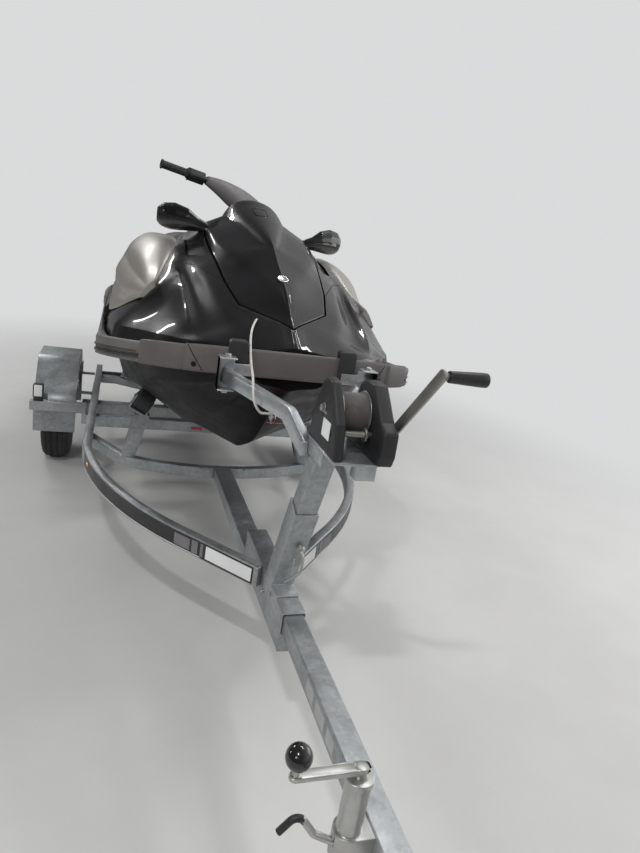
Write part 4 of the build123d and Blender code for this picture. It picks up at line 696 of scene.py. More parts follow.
# Upper body up to the steering. Half sections: low side, bulge, shoulder, outer ridge, flute, inner ridge,
# hood edge, hollow, hood crease, foot of the dome, dome, then the centre's height
cowlSet = {
    "rows": [
        (-842, 160, (155, 1112), (150, 1116), (144, 1121), (134, 1126), (122, 1131), (106, 1137),
         (40, 1147), (24, 1149), (10, 1151), (7, 1151), (3, 1152), 1152),
        (-762, 282, (274, 1124), (271, 1127), (266, 1131), (256, 1136), (206, 1150), (144, 1172),
         (40, 1195), (24, 1197), (8, 1201), (6, 1201), (3, 1202), 1202),
        (-690, 352, (338, 1120), (328, 1124), (314, 1130), (302, 1142), (240, 1152), (174, 1194),
         (70, 1220), (42, 1229), (12, 1245), (8, 1247), (4, 1249), 1250),
        (-606, 422, (404, 1116), (380, 1128), (346, 1147), (313, 1188), (262, 1175), (208, 1222),
         (148, 1238), (88, 1258), (20, 1299), (8, 1301), (4, 1303), 1305),
        (-470, 483, (464, 1101), (414, 1130), (352, 1180), (317, 1240), (276, 1220), (236, 1269),
         (176, 1295), (134, 1308), (78, 1341), (9, 1366), (4, 1368), 1370),
        (-400, 520, (500, 1093), (444, 1136), (364, 1207), (319, 1265), (283, 1245), (248, 1293),
         (186, 1322), (156, 1334), (114, 1366), (9, 1401), (4, 1403), 1405),
        (-350, 538, (517, 1088), (466, 1144), (386, 1232), (321, 1281), (290, 1267), (258, 1308),
         (192, 1342), (168, 1355), (142, 1381), (8, 1427), (4, 1429), 1431),
        (-310, 548, (528, 1085), (472, 1152), (392, 1256), (323, 1293), (294, 1285), (266, 1319),
         (196, 1357), (182, 1369), (162, 1392), (28, 1433), (17, 1448), 1453),
        (-215, 556, (534, 1078), (462, 1178), (378, 1292), (336, 1316), (306, 1326), (280, 1341),
         (208, 1388), (203, 1402), (190, 1419), (57, 1460), (40, 1484), 1491),
        (-100, 566, (542, 1070), (456, 1190), (354, 1335), (318, 1360), (296, 1372), (274, 1385),
         (216, 1426), (212, 1438), (203, 1452), (88, 1493), (66, 1522), 1535),
        (-10, 567, (544, 1066), (448, 1204), (340, 1361), (310, 1382), (292, 1391), (276, 1400),
         (224, 1448), (218, 1459), (208, 1468), (110, 1508), (84, 1547), 1567),
        (70, 567, (546, 1063), (442, 1212), (328, 1379), (304, 1398), (290, 1406), (276, 1413), (234, 1460),
         (226, 1474), (208, 1478), (122, 1521), (92, 1572), 1592),
        (150, 568, (548, 1060), (436, 1220), (310, 1398), (290, 1414), (280, 1421), (270, 1428),
         (228, 1456), (214, 1466), (194, 1474), (126, 1509), (92, 1580), 1606),
        (228, 568, (549, 1056), (432, 1218), (302, 1396), (282, 1410), (270, 1416), (258, 1422),
         (222, 1446), (206, 1456), (184, 1465), (104, 1492), (66, 1518), 1532),
        (320, 569, (550, 1052), (426, 1206), (292, 1374), (270, 1388), (257, 1394), (244, 1400),
         (200, 1420), (182, 1431), (160, 1440), (84, 1458), (48, 1470), 1476),
        (490, 570, (552, 1046), (420, 1140), (284, 1248), (262, 1263), (248, 1270), (234, 1276),
         (186, 1300), (168, 1306), (146, 1312), (100, 1324), (60, 1332), 1338),
    ],
    "creases": {0: 1, 1: 1, 2: 0.9, 5: 0.85, 7: 0.9, 8: 0.45, 10: 0.9, 11: 0.8, 13: 0.9},
    # the centre ridge runs into the tip of the dome, the flutes' ridges fade under the side panels
    "ends": {13: 6, 5: 8, 7: 9},
    "hoodOutline": [(0, -764), (148, -604), (178, -465), (206, -220), (213, -100), (205, 50), (120, 130)],
    "gap": 7,
    "shelf": [(-820, 1151), (180, 1436)],
    # half width, front, rear and floor of the storage under the hood
    "bin": (105, -460, -60, 1130),
}
cowlSections = []
for y, rail, *points, centre in cowlSet["rows"]:
    base = partingHeight(y) + 0.3
    cowlSections.append(wholeLoop(y, [(0, base), (rail, base), *points, (0, centre)]))
cowlShape = loftSections("cowlShape", through(cowlSections), bothSides(cowlSet["creases"], 14), 2,
                         bothSides(cowlSet["ends"], 14))


def grownOutline(outline, amount):
    # whole mirrored outline, each side moved outwards
    whole = outline + [(-x, y) for x, y in reversed(outline) if x > 0]
    grownPoints = []
    for i, point in enumerate(whole):
        before = Vector(whole[i - 1])
        here = Vector(point)
        after = Vector(whole[(i + 1) % len(whole)])
        first = (here - before).normalized()
        second = (after - here).normalized()
        outward = Vector((first.y + second.y, -first.x - second.x)).normalized()
        reach = amount / max(0.5, outward.dot(Vector((first.y, -first.x))))
        grownPoints.append(tuple(here + outward * reach))
    return grownPoints


def hoodSpace(name, grow, drop):
    space = prism(name, grownOutline(cowlSet["hoodOutline"], grow), 1000, 1900)
    (y0, z0), (y1, z1) = cowlSet["shelf"]
    profile = [(y0 - 60, z0 - drop), (y0, z0 - drop), (y1, z1 - drop), (y1 + 80, z1 - drop),
               (y1 + 80, 900), (y0 - 60, 900)]
    cutBy(space, sideProfile(name + "Floor", profile, -400, 400))
    return space


hoodShape = duplicate(cowlShape)
cutBy(hoodShape, hoodSpace("hoodSpace", 0, 0), "INTERSECT")
cutBy(cowlShape, hoodSpace("hoodGap", cowlSet["gap"], 0.3))
binHalf, binFront, binRear, binFloor = cowlSet["bin"]
binOutline = [(-binHalf, binFront), (binHalf, binFront), (binHalf, binRear), (-binHalf, binRear)]
cutBy(cowlShape, prism("storage", binOutline, binFloor, 1700))
cutBy(hoodShape, prism("noseCut", [(-60, -786), (60, -786), (60, -740), (-60, -740)], 1100, 1174))

# Latch: a cap with the hood's own form, in a dark gap
latchSet = {"middle": (0, -37), "half": (27, 44), "corner": 13, "lift": (0, -0.0004, 0.0012)}


def roundedOutline(middle, half, corner):
    points = []
    for number, (sx, sy) in enumerate(((1, 1), (-1, 1), (-1, -1), (1, -1))):
        for step in range(5):
            angle = (number + step / 4) * pi / 2
            points.append((middle[0] + sx * (half[0] - corner) + corner * cos(angle),
                           middle[1] + sy * (half[1] - corner) + corner * sin(angle)))
    return points


latchOutline = roundedOutline(latchSet["middle"], latchSet["half"], latchSet["corner"])
latchCap = duplicate(hoodShape)
cutBy(latchCap, prism("latchSpace", latchOutline, 1500, 1640), "INTERSECT")
latchCap.data.transform(Matrix.Translation(latchSet["lift"]))
bevel(latchCap, 0.0015, 2, 50)
smooth(latchCap, 30)
bpy.data.objects.remove(made.pop("hood_latch"))
dress(latchCap, "latch_cap", "hood", "gelcoatBlack", ["hood_latch"])
latchY = latchSet["middle"][1]
latchRing = [(x * 1.08, latchY + (y - latchY) * 1.05, 1560) for x, y in latchOutline]
latchGap = onSurface(hoodShape, latchRing, -0.5)
dress(wire("latchGap", latchGap, 2.8, True), "latch_gap", "hood", "gapBlack")

# Pockets below the mirrors and the panel seams, both sides
pocketSet = {"corners": [(284, 12, 1399), (237, -132, 1408), (231, -248, 1370), (290, -172, 1350)], "deep": 9,
             "seam": [(352, -196, 1312), (317, -216, 1321), (283, -256, 1324), (244, -348, 1317),
                      (184, -470, 1290)]}
seams = []
pockets = []
for side in (-1, 1):
    seam = onSurface(cowlShape, between([(side * x, y, z) for x, y, z in pocketSet["seam"]], 24), -0.6)
    seams.append(wire("seam", seam, 1.5))
    pockets.append(slopingBlock("pocket", [(side * x, y, z) for x, y, z in pocketSet["corners"]],
                                pocketSet["deep"], 60))
cutBy(cowlShape, joinPieces(pockets, "pockets"))
dress(joinPieces(seams, "seams"), "deck_seams", fixed, "gapBlack")
for shape, name in ((hoodShape, "hood"), (cowlShape, "deck")):
    bevel(shape, 0.0015, 2, 42)
    smooth(shape, 24)
dress(hoodShape, "hood_shell", "hood", "gelcoatBlack", ["hood"])
dress(cowlShape, "front_deck", fixed, "gelcoatBlack", ["deck"])
print("front deck and hood made")

# Dark insert in the rail's groove, and a parting line at each end of the bow bumper
insertSet = {"from": -676, "to": 2290, "heights": (-9.5, -18.5), "radius": 4.6}
inserts = []
for side in (-1, 1):
    for drop in insertSet["heights"]:
        line = []
        for step in range(70):
            y = insertSet["from"] + (insertSet["to"] - insertSet["from"]) * (step / 69) ** 1.3
            start = (side * 0.8, y / 1000, (partingHeight(y) + drop) / 1000)
            hit, place, normal, face = made["bumper_rail"].ray_cast(start, (-side, 0, 0))
            if hit:
                line.append(tuple((place - normal * 0.0012) * 1000))
        inserts.append(wire("insert", line, insertSet["radius"]))
dress(joinPieces(inserts, "inserts"), "rail_inserts", fixed, "insertDark")
cornerLines = []
for side in (-1, 1):
    line = between([(side * 321, -793, 1122), (side * 275, -814, 1050)], 12)
    cornerLines.append(wire("cornerLine", onSurface(made["bow_bumper"], line, 0), 1.3))
dress(joinPieces(cornerLines, "cornerLines"), "bumper_lines", fixed, "gapBlack")

# Rear deck: rail, gunwale outside and inside, floor outside and inside, pedestal edge
rearSet = {
    "rows": [
        (300, 569, (553, 1080), (470, 1110), (430, 1060), (262, 1060), (225, 1180)),
        (680, 570, (556, 1046), (462, 1052), (425, 992), (262, 992), (214, 1172)),
        (1270, 568, (552, 1030), (458, 1034), (422, 982), (300, 982), (246, 1172)),
        (1780, 560, (542, 1012), (452, 1014), (420, 974), (318, 974), (262, 1120)),
        (1920, 556, (536, 1000), (450, 1002), (420, 970), (318, 970), (262, 974)),
        (2345, 540, (516, 984), (440, 985), (415, 962), (300, 962), (250, 964)),
    ],
}
rearSections = []
for y, rail, out, inner, floorOut, floorIn, pedestal in rearSet["rows"]:
    base = partingHeight(y) + 0.3
    half = [(0, base), (rail, base), (rail, out[1] - 26), out, inner, floorOut, floorIn, pedestal,
            (0, pedestal[1])]
    rearSections.append(wholeLoop(y, half))
rearShape = loftSections("rearShape", rearSections, bothSides(sharp(0, 1, 2, 3, 4, 5, 6, 7, 8), 9), 2)
bevel(rearShape, 0.012, 3, 30)
smooth(rearShape, 35)
dress(rearShape, "rear_deck", fixed, "gelcoatBlack")
print("rear deck made")

# Side panels: pointed at the front, three flowing tiers outside, a crest, then the inner face beside the seat
panelSet = {
    "rows": [
        (-325, (455, 1186), (449, 1198), (443, 1208), (437, 1218), (430, 1228), (422, 1238), (413, 1249),
         (402, 1258), (400, 1200)),
        (-190, (490, 1146), (488, 1166), (466, 1190), (474, 1210), (444, 1240), (436, 1262), (402, 1292),
         (356, 1316), (350, 1200)),
        (-20, (522, 1102), (526, 1128), (496, 1156), (520, 1204), (470, 1262), (474, 1302), (418, 1362),
         (300, 1404), (298, 1250)),
        (200, (552, 1062), (551, 1120), (518, 1170), (548, 1228), (492, 1290), (494, 1340), (402, 1406),
         (300, 1416), (296, 1300)),
        (420, (553, 1052), (551, 1112), (518, 1164), (547, 1224), (494, 1288), (492, 1336), (422, 1402),
         (382, 1400), (384, 1060)),
        (600, (551, 1047), (548, 1104), (532, 1146), (540, 1208), (512, 1258), (487, 1312), (450, 1358),
         (409, 1352), (402, 1038)),
        (920, (549, 1040), (549, 1082), (532, 1106), (539, 1156), (508, 1188), (496, 1252), (464, 1312),
         (412, 1306), (404, 1030)),
        (1420, (544, 1030), (544, 1064), (526, 1084), (530, 1118), (506, 1140), (490, 1186), (466, 1236),
         (418, 1230), (408, 1022)),
        (1800, (530, 1011), (526, 1018), (518, 1024), (512, 1032), (500, 1038), (488, 1046), (470, 1066),
         (430, 1062), (424, 1007)),
    ],
    "creases": {0: 1, 2: 1, 4: 1, 8: 1},
}
panelSections = []
for y, *points in panelSet["rows"]:
    panelSections.append([Vector((x / 1000, y / 1000, z / 1000)) for x, z in points])
panel = loftSections("panel", through(panelSections), panelSet["creases"], 3)
smooth(panel, 50)
panels = joinPieces([panel, mirroredCopy(panel, "panelTwin")], "panels")
dress(panels, "side_panels", fixed, "champagne", ["side_bolsters"])
print("side panels made")

# Seats: a crowned closed form, padded by pressure, with seams laid on afterwards

seatSet = {
    "front": [(500, 120, (150, 1260), (110, 1330), 1352), (680, 190, (250, 1268), (180, 1352), 1372),
              (880, 205, (310, 1270), (240, 1370), 1386), (1058, 215, (345, 1275), (268, 1395), 1412)],
    "rear": [(1062, 215, (345, 1275), (268, 1400), 1420), (1320, 225, (360, 1278), (285, 1410), 1428),
             (1600, 225, (345, 1272), (262, 1396), 1416), (1810, 180, (270, 1250), (200, 1340), 1360)],
    "base": 1176,
    "swell": 0.008,
    # half width in millimetres and depth in metres of the channel under a seam
    "channel": (34, 0.0055),
}


def sewnLines(rows):
    # along both shoulders, and across the top between the stations
    lines = []
    for side in (-1, 1):
        row = [(side * shoulder[0] * 0.92, y, shoulder[1] + 6) for y, foot, low, shoulder, top in rows]
        lines.append(between(row, 40))
    for (y0, foot, low, shoulder0, top0), (y1, foot, low, shoulder1, top1) in zip(rows, rows[1:]):
        y, width, top = (y0 + y1) / 2, (shoulder0[0] + shoulder1[0]) * 0.46, (top0 + top1) / 2
        lines.append(between([(-width, y + 34, top - 14), (-width * 0.5, y + 8, top - 4), (0, y, top),
                              (width * 0.5, y + 8, top - 4), (width, y + 34, top - 14)], 24))
    return lines


def seatCushion(name, rows, finish):
    sections = []
    for y, foot, side, shoulder, top in rows:
        half = [(0, seatSet["base"]), (foot, seatSet["base"]), (side[0] - 6, side[1]),
                (side[0] - 2, side[1] + 34), (shoulder[0], shoulder[1] - 6), (shoulder[0] * 0.5, top - 8),
                (0, top - 6)]
        sections.append(wholeLoop(y, half))
    cushion = loftSections(name, sections, bothSides(sharp(0, 1), 7), 2)
    addModifier(cushion, "REMESH", mode="VOXEL", voxel_size=0.009)
    start = [v.co.copy() for v in cushion.data.vertices]
    cloth = cushion.modifiers.new("Cloth", "CLOTH")
    cloth.settings.use_pressure = True
    cloth.settings.uniform_pressure_force = 4
    cloth.settings.effector_weights.gravity = 0
    cloth.settings.tension_stiffness = 25
    scene = bpy.context.scene
    for number in range(1, 13):
        scene.frame_set(number)
    pick(cushion)
    bpy.ops.object.modifier_apply(modifier="Cloth")
    scene.frame_set(1)
    for vertex, before in zip(cushion.data.vertices, start):
        moved = vertex.co - before
        if moved.length > seatSet["swell"]:
            vertex.co = before + moved.normalized() * seatSet["swell"]
    addModifier(cushion, "SMOOTH", factor=0.5, iterations=4)
    channels = sewnLines(rows)
    reach, depth = seatSet["channel"]
    for vertex in cushion.data.vertices:
        nearest = min((vertex.co * 1000 - Vector(p)).length for line in channels for p in line)
        if nearest < reach:
            vertex.co -= vertex.normal * depth * (1 - nearest / reach) ** 2
    smooth(cushion, 60)
    dress(cushion, name + "_pad", fixed, finish, [name])
    piping = [wire("piping", onSurface(cushion, line, 0.4), 2.0) for line in channels]
    dress(joinPieces(piping, name + "Piping"), name + "_piping", fixed, "seatSide")


seatCushion("seat_front", seatSet["front"], "seatVinyl")
seatCushion("seat_rear", seatSet["rear"], "seatVinyl")
print("seats made")

# Mooring line: the route of the CAD tube, in metres
cordSet = {
    "route": [(-0.100, -0.604, 1.188), (-0.100, -0.662, 1.191), (-0.102, -0.692, 1.208),
              (-0.116, -0.735, 1.207), (-0.133, -0.780, 1.192), (-0.145, -0.826, 1.170),
              (-0.150, -0.866, 1.146), (-0.151, -0.898, 1.114), (-0.153, -0.932, 1.096),
              (-0.156, -0.972, 1.084), (-0.162, -1.015, 1.066), (-0.161, -1.042, 1.027),
              (-0.134, -1.022, 0.991), (-0.101, -0.960, 0.975), (-0.082, -0.912, 0.961),
              (-0.062, -0.860, 0.948), (-0.043, -0.804, 0.930), (-0.026, -0.754, 0.905),
              (-0.0098, -0.680, 0.872)],
    "radius": 0.0035, "length": 0.932,
}
cordPiece = rod("mooring_line", cordSet["route"], cordSet["radius"], False, 12, 5)
dress(cordPiece, "mooring_line", fixed, "cordWhite", ["mooring_cord"])
print("mooring line made")

# Winch strap: flat webbing from the drum to the bow eye
carryOver("winch_strap", 0.0006, fixed, "strapRed")


# Mirrors: a smooth drop on a stem, cut flat at the back for the glass, with small fins above the stem
mirrorSet = {
    "root": (201, -30, 1452),
    "rows": [(0, 0, 0, 17, 14), (20, 6, 4, 22, 17), (38, 14, 10, 29, 23), (78, 38, 22, 43, 39),
             (128, 70, 26, 51, 49), (160, 90, 26, 48, 46), (182, 104, 25, 34, 34), (192, 108, 24, 20, 20)],
    "glassPlace": (329, 72, 1478), "glassNormal": (-0.5, 0.86, 0),
    "fins": [(66, 34, 52, 20), (84, 44, 62, 24), (104, 56, 68, 28)],
}


def slab(name, place, normal, near, far, half):
    # block between two distances along a normal from a place, in millimetres
    block = primitive("cube", size=1)
    block.data.transform(Matrix.Diagonal((2 * half / 1000, 2 * half / 1000, (far - near) / 1000, 1)))
    block.data.transform(Matrix.Translation((0, 0, (near + far) / 2000)))
    standAlong(block, place, normal)
    block.name = name
    return block


def standAlong(piece, place, direction):
    # a piece built upright at the origin, turned along a direction and moved to a place in millimetres
    turnTo = Vector(direction).to_track_quat("Z", "Y").to_matrix().to_4x4()
    piece.data.transform(Matrix.Translation(Vector(place) / 1000) @ turnTo)


rootX, rootY, rootZ = mirrorSet["root"]
mirrorSections = []
for out, back, rise, halfY, halfZ in mirrorSet["rows"]:
    mirrorSections.append([Vector((rootX + out, rootY + back + halfY * cos(step * pi / 8),
                                   rootZ + rise + halfZ * sin(step * pi / 8))) / 1000 for step in range(16)])
mirrorOne = loftSections("mirrorOne", mirrorSections, {}, 2)
for out, back, rise, length in mirrorSet["fins"]:
    fin = primitive("uv_sphere", segments=20, ring_count=12, radius=0.5)
    fin.data.transform(Matrix.Diagonal((length / 1000, 0.030, 0.010, 1)))
    fin.data.transform(Matrix.Rotation(radians(-38), 4, "Y"))
    fin.data.transform(Matrix.Translation(Vector((rootX + out, rootY + back, rootZ + rise)) / 1000))
    cutBy(mirrorOne, fin, "UNION")
addModifier(mirrorOne, "REMESH", mode="VOXEL", voxel_size=0.0028)
addModifier(mirrorOne, "SMOOTH", factor=0.5, iterations=12)
glassOne = duplicate(mirrorOne)
glassPlace, glassNormal = mirrorSet["glassPlace"], mirrorSet["glassNormal"]
cutBy(mirrorOne, slab("glassCut", glassPlace, glassNormal, 0, 120, 120))
cutBy(glassOne, slab("glassSlab", glassPlace, glassNormal, -3, 0.8, 120), "INTERSECT")
bevel(mirrorOne, 0.002, 2, 45)
smooth(mirrorOne, 40)
smooth(glassOne, 30)
mirrorPair = joinPieces([mirrorOne, mirroredCopy(mirrorOne, "mirrorTwin")], "mirrorPair")
dress(mirrorPair, "mirror_housings", "hood", "knobGloss", ["mirrors"])
glassPair = joinPieces([glassOne, mirroredCopy(glassOne, "glassTwin")], "glassPair")
dress(glassPair, "mirror_glasses", "hood", "mirrorGlass")
print("mirrors made")


# Pad round the bar, drawn on the turned bar's own plane: place along the bar, back, half depth, top, bottom
padSet = {
    "origin": (0, 415, 1620), "turn": 28, "lean": 40,
    "rows": [(-190, 24, 17, 22, -20), (-160, 19, 23, 29, -30), (-118, 10, 30, 36, -52), (-60, 4, 37, 41, -84),
             (0, 0, 41, 43, -102), (60, 4, 37, 41, -84), (118, 10, 30, 36, -52), (160, 19, 23, 29, -30),
             (190, 24, 17, 22, -20)],
    "column": (43, -50, -109),
}
barTurn, barLean = radians(padSet["turn"]), radians(padSet["lean"])
barRight = Vector((cos(barTurn), sin(barTurn) * cos(barLean), -sin(barTurn) * sin(barLean)))
barUp = Vector((0, sin(barLean), cos(barLean)))
barBack = barUp.cross(barRight)


def onBar(along, back, up):
    return (Vector(padSet["origin"]) + barRight * along + barBack * back + barUp * up) / 1000


padSections = []
for along, back, depth, top, bottom in padSet["rows"]:
    middle, tall = (top + bottom) / 2, (top - bottom) / 2
    section = []
    for step in range(12):
        angle = step * pi / 6
        # near its top the pad is a little thinner
        flat = 0.82 if sin(angle) > 0.7 else 1
        section.append(onBar(along, back + depth * 1.1 * cos(angle) * flat,
                             middle + tall * 1.05 * sin(angle)))
    padSections.append(section)
pad = loftSections("pad", padSections, {}, 2)
columnRadius, columnTop, columnFoot = padSet["column"]
columnShape = primitive("cylinder", vertices=40, radius=columnRadius / 1000,
                        depth=(columnTop - columnFoot) / 1000)
standAlong(columnShape, onBar(0, 0, (columnTop + columnFoot) / 2) * 1000, barUp)
cutBy(pad, columnShape, "UNION")
addModifier(pad, "REMESH", mode="VOXEL", voxel_size=0.0032)
addModifier(pad, "SMOOTH", factor=0.6, iterations=8)
smooth(pad, 50)
dress(pad, "bar_pad", "steering", "padGrey", ["steering_cover"])
print("bar pad made")


# Turned and repeated small parts

def disc(name, radius, height, place, direction, sides=32, edge=0.6):
    piece = primitive("cylinder", vertices=sides, radius=radius / 1000, depth=height / 1000)
    piece.data.transform(Matrix.Translation((0, 0, height / 2000)))
    if edge:
        bevel(piece, edge / 1000, 2, 40)
    standAlong(piece, place, direction)
    piece.name = name
    smooth(piece, 40)
    return piece


# a hole at each end of the bow bumper
holes = [disc("hole", 8, 1.2, (side * 301, -804, 1067), (side * 0.37, -0.93, 0), 28, 0.4) for side in (-1, 1)]
dress(joinPieces(holes, "holes"), "bumper_holes", fixed, "gapBlack")

# head radius, head height, washer radius, washer height
boltSet = {"small": (6.5, 5, 8.5, 1.4), "large": (9.5, 7, 12, 2)}
boltMasters = {}
for size, (headRadius, headHeight, washerRadius, washerHeight) in boltSet.items():
    head = disc("head", headRadius, headHeight, (0, 0, washerHeight), (0, 0, 1), 6, 0.9)
    washer = disc("washer", washerRadius, washerHeight, (0, 0, 0), (0, 0, 1), 28, 0.4)
    boltMasters[size] = joinPieces([head, washer], size + "Bolt")


def boltRow(name, size, places, body, finish):
    # places: (x, y, z) and the direction the head looks
    copies = []
    for place, direction in places:
        bolt = duplicate(boltMasters[size])
        standAlong(bolt, place, direction)
        copies.append(bolt)
    return dress(joinPieces(copies, name), name, body, finish)


bracketBolts = [((side * 218, -897, z), (0, 0, way))
                for side in (-1, 1) for z, way in ((1118, 1), (1020, -1))]
boltRow("bracket_bolts", "large", bracketBolts, fixed, "zincPlate")
boltRow("winch_bolts", "large", [((-34, -1254, 1084), (-1, 0, 0))], fixed, "zincPlate")
# half width (x), y, z, and whether the head looks outwards instead of up
beamBoltRows = [(35, -977, 397, True), (102, 70, 390.2, False), (447, 232, 390.2, False),
                (35, -1060, 440, True)]
beamBolts = [((side * x, y, z), (side, 0, 0) if outwards else (0, 0, 1))
             for x, y, z, outwards in beamBoltRows for side in (-1, 1)]
boltRow("beam_bolts", "small", beamBolts, fixed, "zincPlate")
for side, wheel in ((-1, "wheel_right"), (1, "wheel_left")):
    places = []
    for step in range(4):
        angle = step * pi / 2 + 0.6
        places.append(((side * 804.2, 1240 + 49 * cos(angle), 289 + 49 * sin(angle)), (side, 0, 0)))
    boltRow(wheel + "_nuts", "small", places, wheel, "zincPlate")
for master in boltMasters.values():
    bpy.data.objects.remove(master)
print("bolts set")

# Hood badge, blank, on the ridge
badge = disc("badge", 19, 3, (0, -548, 1332.5), (0, -0.436, 0.9), 48, 1.2)
editAll(badge)
bpy.ops.mesh.select_mode(type="FACE")
bpy.ops.mesh.select_all(action="DESELECT")
leaveEdit()
lookUp = Vector((0, -0.436, 0.9)).normalized()
for face in badge.data.polygons:
    face.select = face.normal.dot(lookUp) > 0.99 and len(face.vertices) > 8
bpy.ops.object.mode_set(mode="EDIT")
bpy.ops.mesh.inset(thickness=0.003, depth=-0.0012)
leaveEdit()
dress(badge, "hood_badge", "hood", "badgeSilver")
print("badge made")

# Winch: webbing wound on the drum, ratchet teeth, blank label on the starboard cover
roll = disc("roll", 50, 68, (-3, -1259, 1078), (1, 0, 0), 96, 3)
dress(roll, "wound_strap", "winch_drum", "strapWound")
ratchet = primitive("circle", vertices=36, radius=0.0175, fill_type="NGON")
for number, vertex in enumerate(ratchet.data.vertices):
    vertex.co *= (1.0, 0.97, 0.80)[number % 3]
editAll(ratchet)
bpy.ops.mesh.extrude_region_move(TRANSFORM_OT_translate={"value": (0, 0, 0.006)})
leaveEdit()
faceOutwards(ratchet)
standAlong(ratchet, (53, -1317, 1040), (1, 0, 0))
dress(ratchet, "ratchet_teeth", "winch_crank", "zincPlate")
labelFoot = [(-34.6, -1262, 1018), (-34.0, -1262, 1018), (-34.0, -1318, 1018), (-34.6, -1318, 1018)]
label = slopingBlock("label", labelFoot, 0, 44)
dress(label, "winch_label", fixed, "stickerWhite")
print("winch parts made")


# Flat bands on the side members' outer faces, without lettering

def ribbon(name, points, low, high, thick):
    # band standing on a line (x, y), thickened away from the craft's middle
    sections = []
    for number, (x, y) in enumerate(points):
        before = Vector(points[max(number - 1, 0)])
        after = Vector(points[min(number + 1, len(points) - 1)])
        run = (after - before).normalized()
        out = Vector((run.y, -run.x))
        far = Vector((x, y)) + out * thick
        near = Vector((x, y)) - out * 0.4
        sections.append([Vector((px, py, pz)) / 1000 for px, py, pz in
                         ((near.x, near.y, low), (far.x, far.y, low), (far.x, far.y, high),
                          (near.x, near.y, high))])
    return loftSections(name, sections, {0: 1, 1: 1, 2: 1, 3: 1}, 0)


memberSet = {"centre": (-842.4, 277.2), "radius": 1475.4, "from": -0.7377, "to": -0.0633,
             "start": (53, -947), "bend": (249.5, -715)}


def memberLine(first, last, steps):
    # port side outer face: 0 to 1 is the straight run from the sleeve, 1 to 2 the bow-shaped part
    points = []
    for step in range(steps + 1):
        at = first + (last - first) * step / steps
        if at < 1:
            points.append(tuple(Vector(memberSet["start"]).lerp(Vector(memberSet["bend"]), at)))
        else:
            angle = memberSet["from"] + (memberSet["to"] - memberSet["from"]) * (at - 1)
            points.append((memberSet["centre"][0] + memberSet["radius"] * cos(angle),
                           memberSet["centre"][1] + memberSet["radius"] * sin(angle)))
    return points


bandSet = [
    # name, from, to, low, high, thickness, finish
    ("band_black", 0.06, 1.86, 396, 455, 0.6, "stickerBlack"),
    ("band_white", 0.08, 0.72, 402, 449, 1.0, "stickerWhite"),
    ("band_grey_one", 0.76, 0.80, 402, 449, 1.0, "stickerGrey"),
    ("band_grey_two", 0.84, 0.93, 402, 449, 1.0, "stickerGrey"),
    ("band_grey_three", 0.96, 1.06, 404, 446, 1.0, "stickerGrey"),
    ("band_line", 0.80, 1.84, 396.5, 399, 1.0, "stickerWhite"),
]
for name, first, last, low, high, thick, finish in bandSet:
    band = ribbon(name, memberLine(first, last, 20), low, high, thick)
    smooth(band, 30)
    pair = joinPieces([band, mirroredCopy(band, name + "Twin")], name)
    dress(pair, name, fixed, finish)
print("bands made")

# Locking pin with its clip wire on the post's sleeve, labels on the drawbar, reflectors, lamp glasses
pin = wire("pin", [(10, -1104, 641), (10, -1150, 622), (12, -1160, 616), (16, -1150, 590), (22, -1134, 566),
                   (22, -1122, 545), (6, -1108, 524), (-10, -1096, 502)], 4.2)
dress(pin, "locking_pin", fixed, "zincPlate")
pinCollar = disc("pinCollar", 12, 9, (10, -1129, 631), (0, -0.923, -0.384), 28, 1.2)
dress(pinCollar, "pin_collar", fixed, "zincPlate")
clip = wire("clip", [(2, -1112, 590), (4, -1104, 545), (8, -1096, 510), (12, -1090, 470), (12, -1086, 463),
                     (14, -1070, 463)], 1.4)
dress(clip, "clip_wire", fixed, "stainless")
# front end (y) and length of each label on the drawbar's starboard face
drawbarLabelRows = [(-1440, 58), (-1516, 64), (-1600, 50)]
drawbarLabels = []
for y, length in drawbarLabelRows:
    labelFoot = [(-30.5, y, 408), (-29.9, y, 408), (-29.9, y - length, 408), (-30.5, y - length, 408)]
    drawbarLabels.append(slopingBlock("label", labelFoot, 0, 38))
dress(joinPieces(drawbarLabels, "drawbarLabels"), "drawbar_labels", fixed,
      "labelGrey")


def plate(name, low, high, edge, finish, body=fixed):
    # rounded block between two corners in millimetres
    block = primitive("cube", size=1)
    size = (Vector(high) - Vector(low)) / 1000
    block.data.transform(Matrix.Diagonal((*size, 1)))
    block.data.transform(Matrix.Translation((Vector(low) + Vector(high)) / 2000))
    bevel(block, edge / 1000, 3, 40)
    smooth(block, 40)
    return dress(block, name, body, finish)


for side, word in ((-1, "right"), (1, "left")):
    x = side * 885
    plate("front_lens_" + word, (x - 20, 812, 475), (x + 20, 819, 537), 3, "lensWhite")
    for colour, finish, low, high in (("red", "lensRed", 364, 397), ("amber", "lensAmber", 331, 361)):
        plate("rear_lens_" + colour + "_" + word, (side * 520 - 84, 1846, low),
              (side * 520 + 84, 1851, high), 2, finish)
    reflector = disc("reflector", 10, 3, (0, 0, 0), (0, 0, 1), 32, 0.8)
    reflector.data.transform(Matrix.Diagonal((2.0, 0.9, 1, 1)))
    hit, place, normal, face = made["side_members"].closest_point_on_mesh((side * 0.64, -0.05, 0.437))
    standAlong(reflector, place * 1000, normal)
    dress(reflector, "side_reflector_" + word, fixed, "lensAmber")
plate("beam_reflector", (-72, 798, 346), (-8, 801.8, 362), 1, "lensRed")
print("small trailer parts made")

# Jockey wheel: glossy knob, dark lever end, rubber tyre on a plastic rim

def paintFaces(piece, finish, test):
    # a second finish on the faces whose middle passes the test
    piece.data.materials.append(finish)
    for face in piece.data.polygons:
        if test(face.center * 1000):
            face.material_index = len(piece.data.materials) - 1


